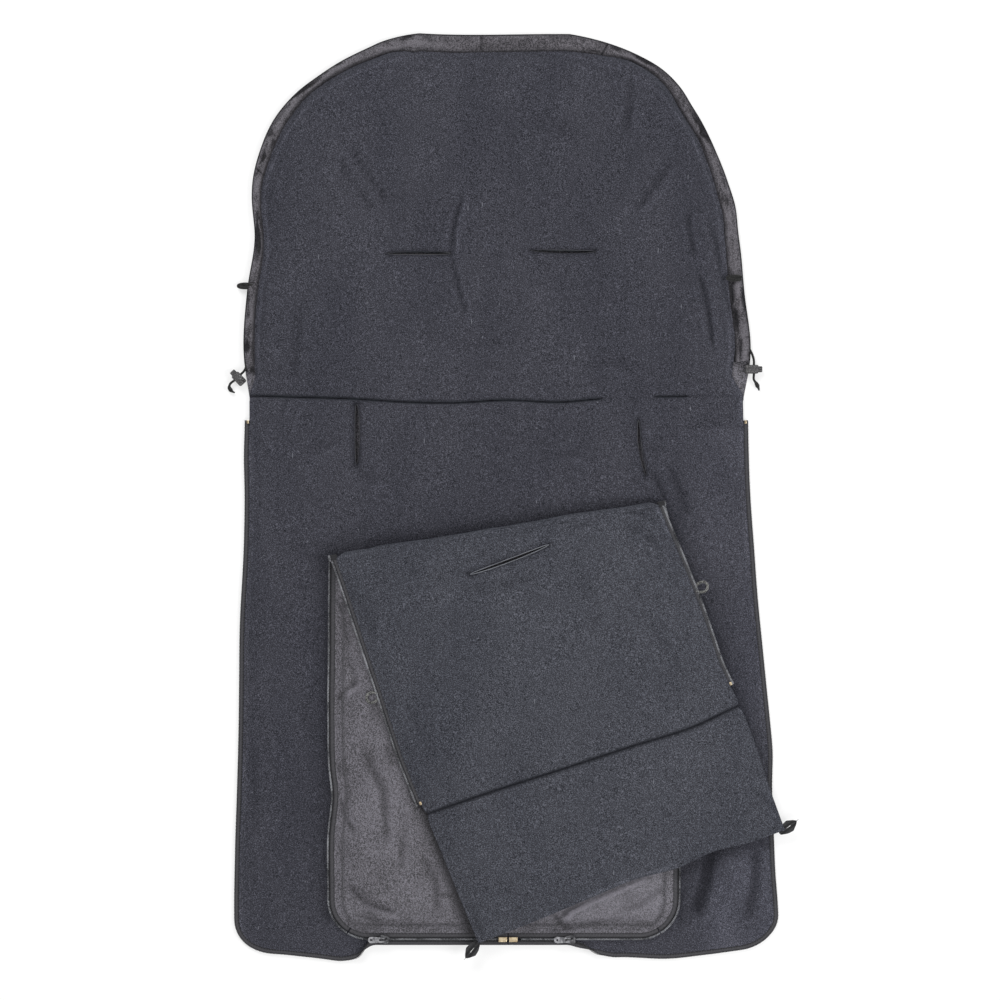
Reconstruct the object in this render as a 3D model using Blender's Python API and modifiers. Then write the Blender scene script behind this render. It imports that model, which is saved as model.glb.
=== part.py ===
# A padded stroller sleeping bag, spread open flat with its front cover folded down.
# All lengths are metres, +Z is up, +Y points to the hood end, and the underside lies on Z = 0.

from math import cos, pi, radians, sin, sqrt, tan

import bmesh
import bpy
from mathutils import Matrix, Vector

# Cloth, wadding and the gaps between pieces that touch
GAP = 0.0003
SHELL = 0.0007
FLEECE = 0.0013
LEAST_WADDING = 0.0009
CUT_OVERRUN = 0.004
SMOOTH_ANGLE = radians(40)

# The whole bag
BAG_LENGTH = 0.922
LEG_LENGTH = 0.558
HEAD_LENGTH = BAG_LENGTH - LEG_LENGTH
FOOT_Y = -BAG_LENGTH / 2
SEAM_Y = FOOT_Y + LEG_LENGTH
HOOD_Y = FOOT_Y + BAG_LENGTH

# Leg part of the back panel. Shares: length from the foot, then the left and the right half width
MAT_HALF_WIDTH = 0.267
MAT_DEPTH = 0.0100
FOOT_CORNER = 0.034
MAT_SIDE_SHARES = (
    (0.00, 1.000, 1.000),
    (0.09, 1.000, 0.995),
    (0.30, 0.985, 0.976),
    (0.50, 0.982, 0.955),
    (0.70, 0.966, 0.918),
    (0.85, 0.958, 0.898),
    (1.00, 0.963, 0.890),
)
SIDE_RING = 0.006
SIDE_CROWN = 0.040
FOOT_RING = 0.014
FOOT_CROWN = 0.052
FOOT_BAND = 0.003
SEAM_RING = 0.007
SEAM_CROWN = 0.030
MAT_COLUMN_SHARES = (1.0, 0.976, 0.90, 0.80, 0.69, 0.57, 0.45, 0.33, 0.11)
MAT_ROW_SHARES = (0.13, 0.21, 0.33, 0.47, 0.61, 0.75, 0.87)
FOOT_ROW_SHARES = (0.20, 0.42, 0.66)
SEAM_ROW_SHARES = (0.70, 0.30, 0.0)

# The foot edge is drawn in where the closed zip holds it
CHAIN_LEFT = -0.122
CHAIN_RIGHT = 0.064
CHAIN_BEYOND = 0.008
ZIP_MEET = 0.002
PINCH = 0.0118
PINCH_EASE = 0.040
PINCH_FADE = 0.080

# Head part and its round hood
HOOD_HALF_WIDTH = 0.240
HOOD_ROUND = 0.175
HOOD_FLAT = 0.005
HOOD_POWER_ALONG = 2.2
HOOD_POWER_ACROSS = 2.4
HEAD_CENTRE_X = -0.0115
# Shares: length from the seam, then the left and the right half width
HEAD_SIDE_SHARES = (
    (0.00, 1.023, 1.040),
    (0.13, 1.050, 1.072),
    (0.30, 1.035, 1.045),
    (0.45, 0.998, 1.018),
    (0.56, 1.004, 0.995),
    (1.00, 1.000, 1.000),
)
HEAD_TOP_RING = 0.006
HEAD_TOP_CROWN = 0.045
HEAD_COLUMN_SHARES = (1.0, 0.976, 0.90, 0.78, 0.58, 0.34, 0.11)
HEAD_ROW_SHARES = (0.045, 0.085, 0.145, 0.23, 0.34, 0.47, 0.61, 0.75, 0.87)
RIM_STEPS = 9

# Hood border, a cloth channel for the drawcord
BORDER_LEFT = 0.010
BORDER_RIGHT = 0.017
BORDER_TOP = 0.017
BORDER_END_LEFT = 0.029
BORDER_END_RIGHT = 0.040
BORDER_HALF_HEIGHT = 0.0032
BORDER_WALL = 0.0008
BORDER_CLEAR = 0.0010
BORDER_SIDES = 12
CORD_RADIUS = 0.0012
CORD_SIDES = 2

# Zip tapes and coils
TAPE = 0.0006
COIL_RADIUS = 0.0009
COIL_LIFT = 0.0002
COIL_INSET = 0.0008
COIL_SIDES = 1
ZIP_END_GAP = 0.0004
CHAIN_Z = 0.0055
CHAIN_INSET = 0.0062
CHAIN_HALF_GAP = 0.0007
TAPE_SEWN_OUT = 0.0009
MAT_TAPE_Z = 0.0026
MAT_TAPE_KNEE = 0.0021
MAT_TAPE_OUT = 0.0039
TAPE_TURN = 0.030
COVER_TAPE_KNEE = 0.0025
FLAP_TAPE_END = 0.226
ZIP_BELOW_SEAM = 0.020
ARC_STEPS = 5
SIDE_STEPS = 9
TURN_STEPS = 6
STOP_LENGTH = 0.0034
STOP_WIDTH = 0.0022
FOOT_STOP_LENGTH = 0.0085
FOOT_STOP_WIDTH = 0.0050
FOOT_STOP_GAP = 0.0010
STOP_HEIGHT = 0.0018
STOP_BEVEL = 0.0004

# Sliders and pull tabs
SLIDER_LENGTH = 0.0110
SLIDER_WIDTH = 0.0096
SLIDER_PLATE = 0.0008
SLIDER_PLAY = 0.00035
SLIDER_ROUND = 0.0022
SLIDER_EDGE = 0.0003
WEDGE_HALF_WIDTH = 0.0003
WEDGE_LENGTH = 0.0042
LUG_WIDTH = 0.0016
LUG_LENGTH = 0.0066
LUG_WALL = 0.0009
LUG_CLEAR = 0.0018
LUG_SUNK = 0.0002
PULL_THICKNESS = 0.0010
PULL_LENGTH = 0.0160
PULL_HALF_WIDTH = 0.0032
PULL_ROOT_HALF_WIDTH = 0.0023
PULL_BAR = 0.0010
PULL_EYE_LENGTH = 0.0044
PULL_EYE_PLAY = 0.0004
PULL_HOLE_RADIUS = 0.0011
PULL_END_STEPS = 8

# Front cover, the half that lies flat
COVER_LEFT = -0.169
COVER_RIGHT = 0.167
COVER_FOOT_INSET = 0.0126
COVER_DEPTH = 0.0080
COVER_CORNER = 0.034
COVER_LIFT = 0.0008
COVER_RING = 0.010
COVER_CROWN = 0.040
COVER_COLUMN_SHARES = (1.0, 0.94, 0.85, 0.68, 0.42, 0.14)
COVER_ROW_SHARES = (0.055, 0.085, 0.12, 0.16, 0.22, 0.32, 0.46, 0.60, 0.74, 0.86)
FOOT_TAPE_ARC = radians(32)

# Fold between the two halves of the cover
FOLD_X = -0.011
FOLD_FROM_FOOT = 0.425
FOLD_Y = FOOT_Y + FOLD_FROM_FOOT
FOLD_ANGLE = radians(9.3)
FOLD_CLEAR = 0.0010
FOLD_WADDING = 0.0026
FOLD_REACH = 0.026

# The folded-down half of the cover, and its collar beyond the sewn seam
FLAP_ANGLE = radians(-69.0)
FLAP_HALF_WIDTH = 0.1620
FLAP_LENGTH = 0.2420
COLLAR_LENGTH = 0.1340
FLAP_RING = 0.008
FLAP_CROWN = 0.034
FLAP_COLUMN_SHARES = (1.0, 0.95, 0.85, 0.68, 0.42, 0.14)
FLAP_ROW_SHARES = (0.06, 0.16, 0.30, 0.46, 0.62, 0.77, 0.89)
COLLAR_ROW_SHARES = (0.20, 0.40, 0.62, 0.82)
DROOP = 0.0090
DROOP_START = 0.140
DROOP_LENGTH = 0.140
TIP_DROOP = 0.0060
TIP_DROOP_FROM_FOOT = 0.075
TIP_DROOP_LENGTH = 0.070

# Slits for the harness, placed from the seam
SLIT_WIDTH = 0.0060
SLIT_STEPS = 12
SHOULDER_SLIT = 0.065
SHOULDER_LEFT_X = -0.087
SHOULDER_RIGHT_X = 0.0575
SHOULDER_LEFT_ABOVE = 0.1465
SHOULDER_RIGHT_ABOVE = 0.1490
WAIST_SLIT = 0.056
WAIST_LEFT_X = -0.1495
WAIST_RIGHT_X = 0.1350
WAIST_LEFT_BELOW = 0.0380
WAIST_RIGHT_BELOW = 0.0480
WAIST_RIGHT_TURN = radians(8.0)
CROTCH_SLIT = 0.060
CROTCH_BELOW = 0.192
COVER_SLIT = 0.082
COVER_SLIT_AT = 0.029

# Elastic loops and tape loops
ELASTIC_RADIUS = 0.0012
ELASTIC_SIDES = 2
LOOP_CLEAR = 0.0003
LOOP_LENGTH = 0.0120
LOOP_HALF_WIDTH = 0.0040
LOOP_STEPS = 8
HOOD_LOOP_LEFT_ABOVE = 0.114
HOOD_LOOP_RIGHT_ABOVE = 0.122
FLAP_LOOP_AT = 0.115
CORNER_LOOP_LENGTH = 0.024
CORNER_LOOP_HALF = 0.0062
CORNER_LOOP_LEFT_CLEAR = 0.0005
CORNER_LOOP_RIGHT_CLEAR = 0.0014
CORNER_LOOP_HOLE_SHARE = 0.45
CORNER_LOOP_THICKNESS = 0.0014
# Shares: length from the root, then half width
CORNER_LOOP_SHARES = ((0.0, 0.58), (0.30, 0.92), (0.55, 1.0), (0.80, 0.66), (1.0, 0.20))
CORNER_LOOP_LEFT_TURN = radians(-129.5)
CORNER_LOOP_RIGHT_TURN = radians(36.6)

# Cord locks. The cord hole's centre is placed from the seam and from the hood's outer edge
LOCK_LEFT_ABOVE = 0.0230
LOCK_LEFT_OUT = 0.0082
LOCK_LEFT_TURN = radians(133)
LOCK_RIGHT_ABOVE = 0.0310
LOCK_RIGHT_OUT = 0.0043
LOCK_RIGHT_TURN = 0.0
LOCK_Z = 0.0046
LOCK_LENGTH = 0.0130
LOCK_WIDTH = 0.0086
LOCK_HEIGHT = 0.0074
LOCK_WALL = 0.0010
LOCK_EDGE = 0.0012
LOCK_HOLE_FROM_MOUTH = 0.0043
LOCK_TRAVEL = 0.0060
CORD_PLAY = 0.00035
HOLE_STEPS = 16
PLUNGER_SHOWN = 0.0040
PLUNGER_TRAVEL = 0.0028
PLUNGER_PLAY = 0.00035
PLUNGER_HEEL = 0.0008
PLUNGER_EDGE = 0.0008
SPRING_RADIUS = 0.0020
SPRING_WIRE = 0.00025
SPRING_TURNS = 2.5
SPRING_STEPS = 8
TAIL_LENGTH = 0.0160
TAIL_SHARES = (0.45, 0.62, 0.79, 1.0)
# Shares of the border's width from its outer edge, where the cord leaves the channel
CORD_OUT_SHARES = ((0, 0.45), (-1, 0.20), (-2, 0.30))
KNOT_RADIUS = 0.0021

COLOURS = {
    "fleece": ((0.052, 0.055, 0.068, 1.0), 0.95, 0.0),
    "woven_shell": ((0.075, 0.070, 0.074, 1.0), 0.72, 0.0),
    "wadding": ((0.80, 0.80, 0.78, 1.0), 0.95, 0.0),
    "zip_tape": ((0.022, 0.022, 0.024, 1.0), 0.80, 0.0),
    "zip_coil": ((0.030, 0.030, 0.032, 1.0), 0.45, 0.0),
    "gilt_metal": ((0.62, 0.42, 0.19, 1.0), 0.35, 1.0),
    "dark_metal": ((0.10, 0.10, 0.11, 1.0), 0.40, 1.0),
    "pull_metal": ((0.52, 0.52, 0.54, 1.0), 0.30, 1.0),
    "elastic_cord": ((0.030, 0.030, 0.028, 1.0), 0.85, 0.0),
    "lock_plastic": ((0.23, 0.22, 0.23, 1.0), 0.50, 0.0),
    "spring_steel": ((0.50, 0.50, 0.50, 1.0), 0.30, 1.0),
}

# Heights that follow from the cloths
SKINS = SHELL + FLEECE
THIN = SKINS + GAP
MAT_WADDING = MAT_DEPTH - SKINS - 2 * GAP
COVER_WADDING = COVER_DEPTH - SKINS - 2 * GAP
FOOT_AT_CHAIN = FOOT_Y + PINCH
COVER_FOOT = FOOT_AT_CHAIN + COVER_FOOT_INSET
CHAIN_Y = FOOT_AT_CHAIN + CHAIN_INSET
COVER_FOOT_LOW = CHAIN_Z - THIN / 2
COVER_FOOT_TOP = COVER_FOOT_LOW + THIN
COVER_LOW = MAT_DEPTH + COVER_LIFT
COVER_TOP = COVER_LOW + COVER_DEPTH
FLAP_LOW = COVER_TOP + GAP
FOLD_Z = COVER_TOP + GAP / 2
COVER_TAPE_OUT = COVER_FOOT_INSET - CHAIN_INSET - CHAIN_HALF_GAP
COIL_RISE = TAPE / 2 + COIL_LIFT + COIL_RADIUS


# Scene, collections, materials and pivots
def start():
    for old in list(bpy.data.objects):
        bpy.data.objects.remove(old, do_unlink=True)
    made = []
    for name in ("stroller_sleeping_bag", "cutters"):
        group = bpy.data.collections.new(name)
        bpy.context.scene.collection.children.link(group)
        made.append(group)
    return made


parts, cutters = start()


def material(name):
    if name in bpy.data.materials:
        return bpy.data.materials[name]
    colour, roughness, metallic = COLOURS[name]
    made = bpy.data.materials.new(name)
    made.use_nodes = True
    shader = made.node_tree.nodes["Principled BSDF"]
    shader.inputs["Base Color"].default_value = colour
    shader.inputs["Roughness"].default_value = roughness
    shader.inputs["Metallic"].default_value = metallic
    return made


def pivot(name, place, parent=None):
    made = bpy.data.objects.new(name, None)
    made.empty_display_size = SLIDER_LENGTH
    parts.objects.link(made)
    made["world"] = tuple(place)
    made.location = place
    if parent:
        made.parent = parent
        made.location = Vector(place) - Vector(parent["world"])
    return made


def finish(name, data, slot, carrier=None):
    # Shapes are drawn in the bag's own places. One that moves is then carried by its pivot
    made = bpy.data.objects.new(name, data)
    parts.objects.link(made)
    data.materials.append(material(slot))
    if carrier:
        data.transform(Matrix.Translation(-Vector(carrier["world"])))
        made.parent = carrier
    if isinstance(data, bpy.types.Mesh):
        data.shade_smooth()
        data.set_sharp_from_angle(angle=SMOOTH_ANGLE)
    return made


def mesh_from(shape, name):
    bmesh.ops.recalc_face_normals(shape, faces=shape.faces[:])
    data = bpy.data.meshes.new(name)
    shape.to_mesh(data)
    shape.free()
    return data


def boolean(target, cutter, operation="DIFFERENCE"):
    cutter.display_type = "WIRE"
    cutter.hide_render = True
    cut = target.modifiers.new(cutter.name, "BOOLEAN")
    cut.operation = operation
    cut.object = cutter


def tool(name, data, carrier=None):
    made = bpy.data.objects.new(name, data)
    cutters.objects.link(made)
    made.parent = carrier
    return made


# Small sums
def ease(x):
    x = min(max(x, 0.0), 1.0)
    return x * x * (3 - 2 * x)


def ramp(x):
    x = min(max(x, 0.0), 1.0)
    return 1 - (1 - x) ** 2


def between(low, high, count):
    return [low + (high - low) * k / count for k in range(count + 1)]


def mirrored(shares):
    return [-s for s in shares] + list(reversed(shares))


def turned(x, y, turn, place=(0.0, 0.0)):
    return place[0] + x * cos(turn) - y * sin(turn), place[1] + x * sin(turn) + y * cos(turn)


def share_at(table, t, column):
    # A smooth curve through the rows of a table of shares
    t = min(max(t, table[0][0]), table[-1][0])
    last = len(table) - 2
    k = min(sum(row[0] <= t for row in table[1:]), last)
    a, b = table[k], table[k + 1]
    before, after = table[max(k - 1, 0)], table[min(k + 2, last + 1)]
    step = b[0] - a[0]
    x = (t - a[0]) / step
    slope_a = (b[column] - before[column]) / (b[0] - before[0]) * step
    slope_b = (after[column] - a[column]) / (after[0] - a[0]) * step
    return (
        (2 * x**3 - 3 * x**2 + 1) * a[column]
        + (x**3 - 2 * x**2 + x) * slope_a
        + (3 * x**2 - 2 * x**3) * b[column]
        + (x**3 - x**2) * slope_b
    )


def corner_inset(distance, radius):
    if distance >= radius:
        return 0.0
    return radius - sqrt(max(radius**2 - (radius - distance) ** 2, 0.0))


# Plan and height of the leg part
def mat_side(y, side):
    share = share_at(MAT_SIDE_SHARES, (y - FOOT_Y) / LEG_LENGTH, 1 if side < 0 else 2)
    return side * MAT_HALF_WIDTH * share


def pinch_at(x):
    left = ease((x - CHAIN_LEFT + CHAIN_BEYOND + PINCH_EASE) / PINCH_EASE)
    right = ease((CHAIN_RIGHT + CHAIN_BEYOND + PINCH_EASE - x) / PINCH_EASE)
    return PINCH * left * right


def mat_place(u, d):
    y = FOOT_Y + d
    inset = corner_inset(d, FOOT_CORNER)
    left = mat_side(y, -1) + inset
    right = mat_side(y, 1) - inset
    x = left + (right - left) * (u + 1) / 2
    return x, y + pinch_at(x) * max(0.0, 1 - d / PINCH_FADE)


def mat_share(x, y):
    side = min(x - mat_side(y, -1), mat_side(y, 1) - x)
    return (
        ramp((side - SIDE_RING) / SIDE_CROWN)
        * ramp((y - COVER_FOOT - FOOT_BAND) / FOOT_CROWN)
        * ramp((SEAM_Y - y - SEAM_RING) / SEAM_CROWN)
    )


def mat_top(x, y):
    return SKINS + 2 * GAP + LEAST_WADDING + (MAT_WADDING - LEAST_WADDING) * mat_share(x, y)


# Plan and height of the head part
def hood_round(distance):
    x = min(max(distance + HOOD_FLAT, 0.0) / (HOOD_ROUND + HOOD_FLAT), 1.0)
    return (1 - (1 - x) ** HOOD_POWER_ALONG) ** (1 / HOOD_POWER_ACROSS)


def head_edge(y, side, inner):
    share = share_at(HEAD_SIDE_SHARES, (y - SEAM_Y) / HEAD_LENGTH, 1 if side < 0 else 2)
    half = HOOD_HALF_WIDTH * share
    top = HOOD_Y
    if inner:
        border = BORDER_LEFT if side < 0 else BORDER_RIGHT
        half -= border * ease((y - SEAM_Y) / BORDER_END_LEFT)
        top -= BORDER_TOP
    return HEAD_CENTRE_X + side * half * hood_round(top - y)


def head_place(u, d):
    y = HOOD_Y - BORDER_TOP - d
    left = head_edge(y, -1, True)
    right = head_edge(y, 1, True)
    return left + (right - left) * (u + 1) / 2, y


def head_share(u, d):
    x, y = head_place(u, d)
    side = min(x - head_edge(y, -1, True), head_edge(y, 1, True) - x)
    return (
        ramp((side - SIDE_RING) / SIDE_CROWN)
        * ramp((d - HEAD_TOP_RING) / HEAD_TOP_CROWN)
        * ramp((y - SEAM_Y - SEAM_RING) / SEAM_CROWN)
    )


def lock_hole(side):
    above, out = (LOCK_LEFT_ABOVE, LOCK_LEFT_OUT) if side < 0 else (LOCK_RIGHT_ABOVE, LOCK_RIGHT_OUT)
    y = SEAM_Y + above
    return head_edge(y, side, False) + side * out, y


def rim_pair(y, side):
    # A point of the hood's outer edge, and its neighbour on the border's inner edge
    share = (HOOD_Y - y) / HEAD_LENGTH
    inner_y = HOOD_Y - BORDER_TOP - (HEAD_LENGTH - BORDER_TOP) * share
    return head_edge(y, side, False), y, head_edge(inner_y, side, True), inner_y


def hood_rim(end_left, end_right):
    sides = []
    for side, end in ((-1, end_left), (1, end_right)):
        shoulder = HOOD_Y - HOOD_ROUND
        rise = between(SEAM_Y + end, shoulder, RIM_STEPS)
        turns = between(0, pi / 2, RIM_STEPS)[1:]
        rise += [shoulder + HOOD_ROUND * sin(turn) for turn in turns]
        sides.append([rim_pair(y, side) for y in rise])
    return sides[0] + sides[1][::-1]


# Plan and height of the cover's flat half
def fold_y(x):
    return FOLD_Y + (x - FOLD_X) * tan(FOLD_ANGLE)


COVER_SPAN = fold_y(COVER_LEFT) - FOLD_CLEAR - COVER_FOOT


def cover_place(u, d):
    inset = corner_inset(d, COVER_CORNER)
    left, right = COVER_LEFT + inset, COVER_RIGHT - inset
    x = left + (right - left) * (u + 1) / 2
    longer = fold_y(x) - FOLD_CLEAR - COVER_FOOT - COVER_SPAN
    return x, COVER_FOOT + d + longer * (d / COVER_SPAN) ** 2


def cover_side_share(x, y):
    side = min(x - COVER_LEFT, COVER_RIGHT - x)
    foot = y - COVER_FOOT
    return ramp((side - COVER_RING) / COVER_CROWN) * ramp((foot - COVER_RING) / COVER_CROWN)


def fold_share(distance):
    # Wadding near the fold, as a share of the full wadding
    least = (FOLD_WADDING - LEAST_WADDING) / (COVER_WADDING - LEAST_WADDING)
    return least + (1 - least) * ease(distance / FOLD_REACH)


def cover_base(x, y):
    thinned = 1 - fold_share(fold_y(x) - y)
    lifted = (COVER_WADDING - LEAST_WADDING) * cover_side_share(x, y) * thinned
    return max(mat_top(x, y) + COVER_LIFT, COVER_FOOT_LOW) + lifted


# Plan and height of the folded-down half and its collar
def flap_spot(p, q):
    x, y = turned(p, q, FLAP_ANGLE, (FOLD_X, FOLD_Y))
    return x, y


def flap_start(q):
    return q * tan(FLAP_ANGLE + pi / 2 - FOLD_ANGLE) + FOLD_CLEAR


def flap_place(u, d):
    q = u * FLAP_HALF_WIDTH
    start_p, end_p = flap_start(q), FLAP_LENGTH - GAP / 2
    return flap_spot(start_p + (end_p - start_p) * d / FLAP_LENGTH, q)


def collar_place(u, d):
    return flap_spot(FLAP_LENGTH + GAP / 2 + d, u * FLAP_HALF_WIDTH)


def flap_base(x, y):
    side = DROOP * ease((x - DROOP_START) / DROOP_LENGTH)
    tip = TIP_DROOP * ease((FOOT_Y + TIP_DROOP_FROM_FOOT - y) / TIP_DROOP_LENGTH)
    return FLAP_LOW - side - tip


def flap_share(u, d):
    q = u * FLAP_HALF_WIDTH
    length = FLAP_LENGTH - flap_start(q)
    sewn = (1 - d / FLAP_LENGTH) * length
    side = FLAP_HALF_WIDTH - abs(q)
    return (
        ramp((side - FLAP_RING) / FLAP_CROWN)
        * ramp((sewn - FLAP_RING) / FLAP_CROWN)
        * fold_share(d / FLAP_LENGTH * length)
    )


def collar_share(u, d):
    side = FLAP_HALF_WIDTH * (1 - abs(u))
    end = min(d, COLLAR_LENGTH - d)
    return ramp((side - FLAP_RING) / FLAP_CROWN) * ramp((end - FLAP_RING) / FLAP_CROWN)


# Pivots, one on each joint's axis
head_pivot = pivot("head_pivot", (0, SEAM_Y, THIN))
cover_pivot = pivot("cover_pivot", (0, COVER_FOOT, COVER_FOOT_TOP))
flap_pivot = pivot("flap_pivot", (FOLD_X, FOLD_Y, FOLD_Z), cover_pivot)
collar_pivot = pivot("collar_pivot", (*flap_spot(FLAP_LENGTH, 0), FLAP_LOW + THIN), flap_pivot)


# One layer of a panel. All layers of a panel share one grid, so they never touch
def slab(name, columns, rows, place, low, high, slot, carrier=None):
    shape = bmesh.new()
    column_of = shape.verts.layers.int.new("column")
    row_of = shape.verts.layers.int.new("row")
    across, along = len(columns) - 1, len(rows) - 1
    bmesh.ops.create_grid(shape, x_segments=across, y_segments=along, size=1)
    for vert in shape.verts:
        vert[column_of] = round((vert.co.x + 1) / 2 * across)
        vert[row_of] = round((vert.co.y + 1) / 2 * along)
    bmesh.ops.triangulate(shape, faces=shape.faces[:], quad_method="FIXED")
    lower = set(shape.verts)
    bmesh.ops.extrude_face_region(shape, geom=shape.faces[:])
    for vert in shape.verts:
        u, d = columns[vert[column_of]], rows[vert[row_of]]
        height = low if vert in lower else high
        vert.co = (*place(u, d), height(u, d))
    return finish(name, mesh_from(shape, name), slot, carrier)


# Underside cloth, wadding and top cloth. A rim row or column is sewn flat, an open row is not
def panel(prefix, columns, rows, place, base, share, full, under, over, carrier=None, open_row=None):
    sewn = {"u": (columns[0], columns[-1]), "d": [rows[0], rows[-1]]}
    if open_row is not None:
        sewn["d"].remove(open_row)
    padded_rows = [d for d in rows if d not in sewn["d"]]

    def on_padding(u, d):
        return u not in sewn["u"] and d not in sewn["d"]

    def padding_low(u, d):
        return base(u, d) + under[1] + GAP

    def padding_high(u, d):
        return padding_low(u, d) + LEAST_WADDING + (full - LEAST_WADDING) * share(u, d)

    def over_low(u, d):
        return padding_high(u, d) + GAP if on_padding(u, d) else padding_low(u, d)

    inner = columns[1:-1]
    heights = (padding_low, padding_high)
    made = [slab(prefix + "_wadding", inner, padded_rows, place, *heights, "wadding", carrier)]
    skins = [(over, over_low)]
    if under[0]:
        skins.append((under, base))
    for (ending, thickness, slot), lowest in skins:
        def highest(u, d, low=lowest, thick=thickness):
            return low(u, d) + thick

        made.append(slab(prefix + ending, columns, rows, place, lowest, highest, slot, carrier))
    return made


# Harness slits
def slit_ring(centre, length, turn):
    ring = []
    for k in range(SLIT_STEPS):
        angle = 2 * pi * (k + 1 / 2) / SLIT_STEPS
        x = SLIT_WIDTH / 2 * cos(angle)
        x += (length - SLIT_WIDTH) / 2 * (1 if x > 0 else -1)
        ring.append(turned(x, SLIT_WIDTH / 2 * sin(angle), turn, centre))
    return ring


def cut_slits(targets, slits, top):
    for name, centre, length, turn in slits:
        shape = bmesh.new()
        ring = [shape.verts.new((x, y, -CUT_OVERRUN)) for x, y in slit_ring(centre, length, turn)]
        floor = shape.faces.new(ring)
        lifted = bmesh.ops.extrude_face_region(shape, geom=[floor])["geom"]
        for vert in lifted:
            if isinstance(vert, bmesh.types.BMVert):
                vert.co.z = top + CUT_OVERRUN
        cutter = tool(name, mesh_from(shape, name))
        for target in targets:
            boolean(target, cutter)


# Leg part
def mat():
    columns = mirrored(MAT_COLUMN_SHARES)
    near = [0.0, FOOT_RING / 4, FOOT_RING]
    near += [FOOT_RING + FOOT_CROWN * s for s in FOOT_ROW_SHARES]
    far = [LEG_LENGTH - SEAM_RING - SEAM_CROWN * s for s in SEAM_ROW_SHARES]
    rows = near + [LEG_LENGTH * s for s in MAT_ROW_SHARES if near[-1] < LEG_LENGTH * s < far[0]]
    rows += far + [LEG_LENGTH - GAP / 2]
    left, right = (WAIST_LEFT_X, SEAM_Y - WAIST_LEFT_BELOW), (WAIST_RIGHT_X, SEAM_Y - WAIST_RIGHT_BELOW)
    slits = (
        ("waist_slit_left", left, WAIST_SLIT, pi / 2),
        ("waist_slit_right", right, WAIST_SLIT, pi / 2 + WAIST_RIGHT_TURN),
        ("crotch_slit", (0.0, SEAM_Y - CROTCH_BELOW), CROTCH_SLIT, 0.0),
    )
    layers = panel(
        "mat", columns, rows, mat_place, lambda u, d: 0.0, lambda u, d: mat_share(*mat_place(u, d)),
        MAT_WADDING, (None, SHELL, None), ("_fleece", FLEECE, "fleece"),
    )
    cut_slits(layers, slits, MAT_DEPTH)
    ring = [mat_place(-1, d) for d in reversed(rows)]
    ring += [mat_place(u, 0.0) for u in columns[1:-1]]
    ring += [mat_place(1, d) for d in rows]
    rings = [ring] + [slit_ring(*slit[1:]) for slit in slits]
    plate("mat_shell", rings, SHELL, SHELL / 2, "woven_shell")


# Head part
def head():
    columns = mirrored(HEAD_COLUMN_SHARES)
    length = HEAD_LENGTH - BORDER_TOP
    far = [length - SEAM_RING - SEAM_CROWN * s for s in SEAM_ROW_SHARES]
    rows = [0.0, HEAD_TOP_RING]
    rows += [length * s for s in HEAD_ROW_SHARES if HEAD_TOP_RING < length * s < far[0]]
    rows += far + [length - GAP / 2]
    slits = (
        ("shoulder_slit_left", (SHOULDER_LEFT_X, SEAM_Y + SHOULDER_LEFT_ABOVE), SHOULDER_SLIT, 0.0),
        ("shoulder_slit_right", (SHOULDER_RIGHT_X, SEAM_Y + SHOULDER_RIGHT_ABOVE), SHOULDER_SLIT, 0.0),
    )
    layers = panel(
        "head", columns, rows, head_place, lambda u, d: 0.0, head_share,
        MAT_WADDING, (None, SHELL, None), ("_fleece", FLEECE, "fleece"), head_pivot,
    )
    cut_slits(layers, slits, MAT_DEPTH)
    ring = [(x, y) for x, y, _, _ in hood_rim(GAP / 2, GAP / 2)]
    rings = [ring] + [slit_ring(*slit[1:]) for slit in slits]
    plate("head_shell", rings, SHELL, SHELL / 2, "woven_shell", head_pivot)


# Flat half of the cover
def cover():
    columns = mirrored(COVER_COLUMN_SHARES)
    rows = [0.0, COVER_RING / 3, COVER_RING]
    rows += [COVER_SPAN * s for s in COVER_ROW_SHARES]
    rows += [COVER_SPAN - FOLD_REACH / 2, COVER_SPAN]

    def share(u, d):
        x, y = cover_place(u, d)
        return cover_side_share(x, y) * fold_share(fold_y(x) - y)

    panel(
        "cover", columns, rows, cover_place, lambda u, d: cover_base(*cover_place(u, d)), share,
        COVER_WADDING, ("_fleece", FLEECE, "fleece"), ("_shell", SHELL, "woven_shell"),
        cover_pivot, open_row=rows[-1],
    )


# Folded-down half of the cover, with its slit
def flap():
    columns = mirrored(FLAP_COLUMN_SHARES)
    rows = [0.0] + [FLAP_LENGTH * s for s in FLAP_ROW_SHARES]
    rows += [FLAP_LENGTH - FLAP_RING, FLAP_LENGTH]
    layers = panel(
        "flap", columns, rows, flap_place, lambda u, d: flap_base(*flap_place(u, d)), flap_share,
        COVER_WADDING, ("_shell", SHELL, "woven_shell"), ("_fleece", FLEECE, "fleece"),
        flap_pivot, open_row=0.0,
    )
    slit = ("cover_slit", flap_spot(COVER_SLIT_AT, 0), COVER_SLIT, FLAP_ANGLE + pi / 2)
    cut_slits(layers, [slit], FLAP_LOW + COVER_DEPTH)


# Collar of the cover, beyond the sewn seam
def collar():
    columns = mirrored(FLAP_COLUMN_SHARES)
    rows = [0.0, FLAP_RING] + [COLLAR_LENGTH * s for s in COLLAR_ROW_SHARES]
    rows += [COLLAR_LENGTH - FLAP_RING, COLLAR_LENGTH]
    panel(
        "collar", columns, rows, collar_place, lambda u, d: flap_base(*collar_place(u, d)), collar_share,
        COVER_WADDING, ("_shell", SHELL, "woven_shell"), ("_fleece", FLEECE, "fleece"), collar_pivot,
    )


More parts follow.
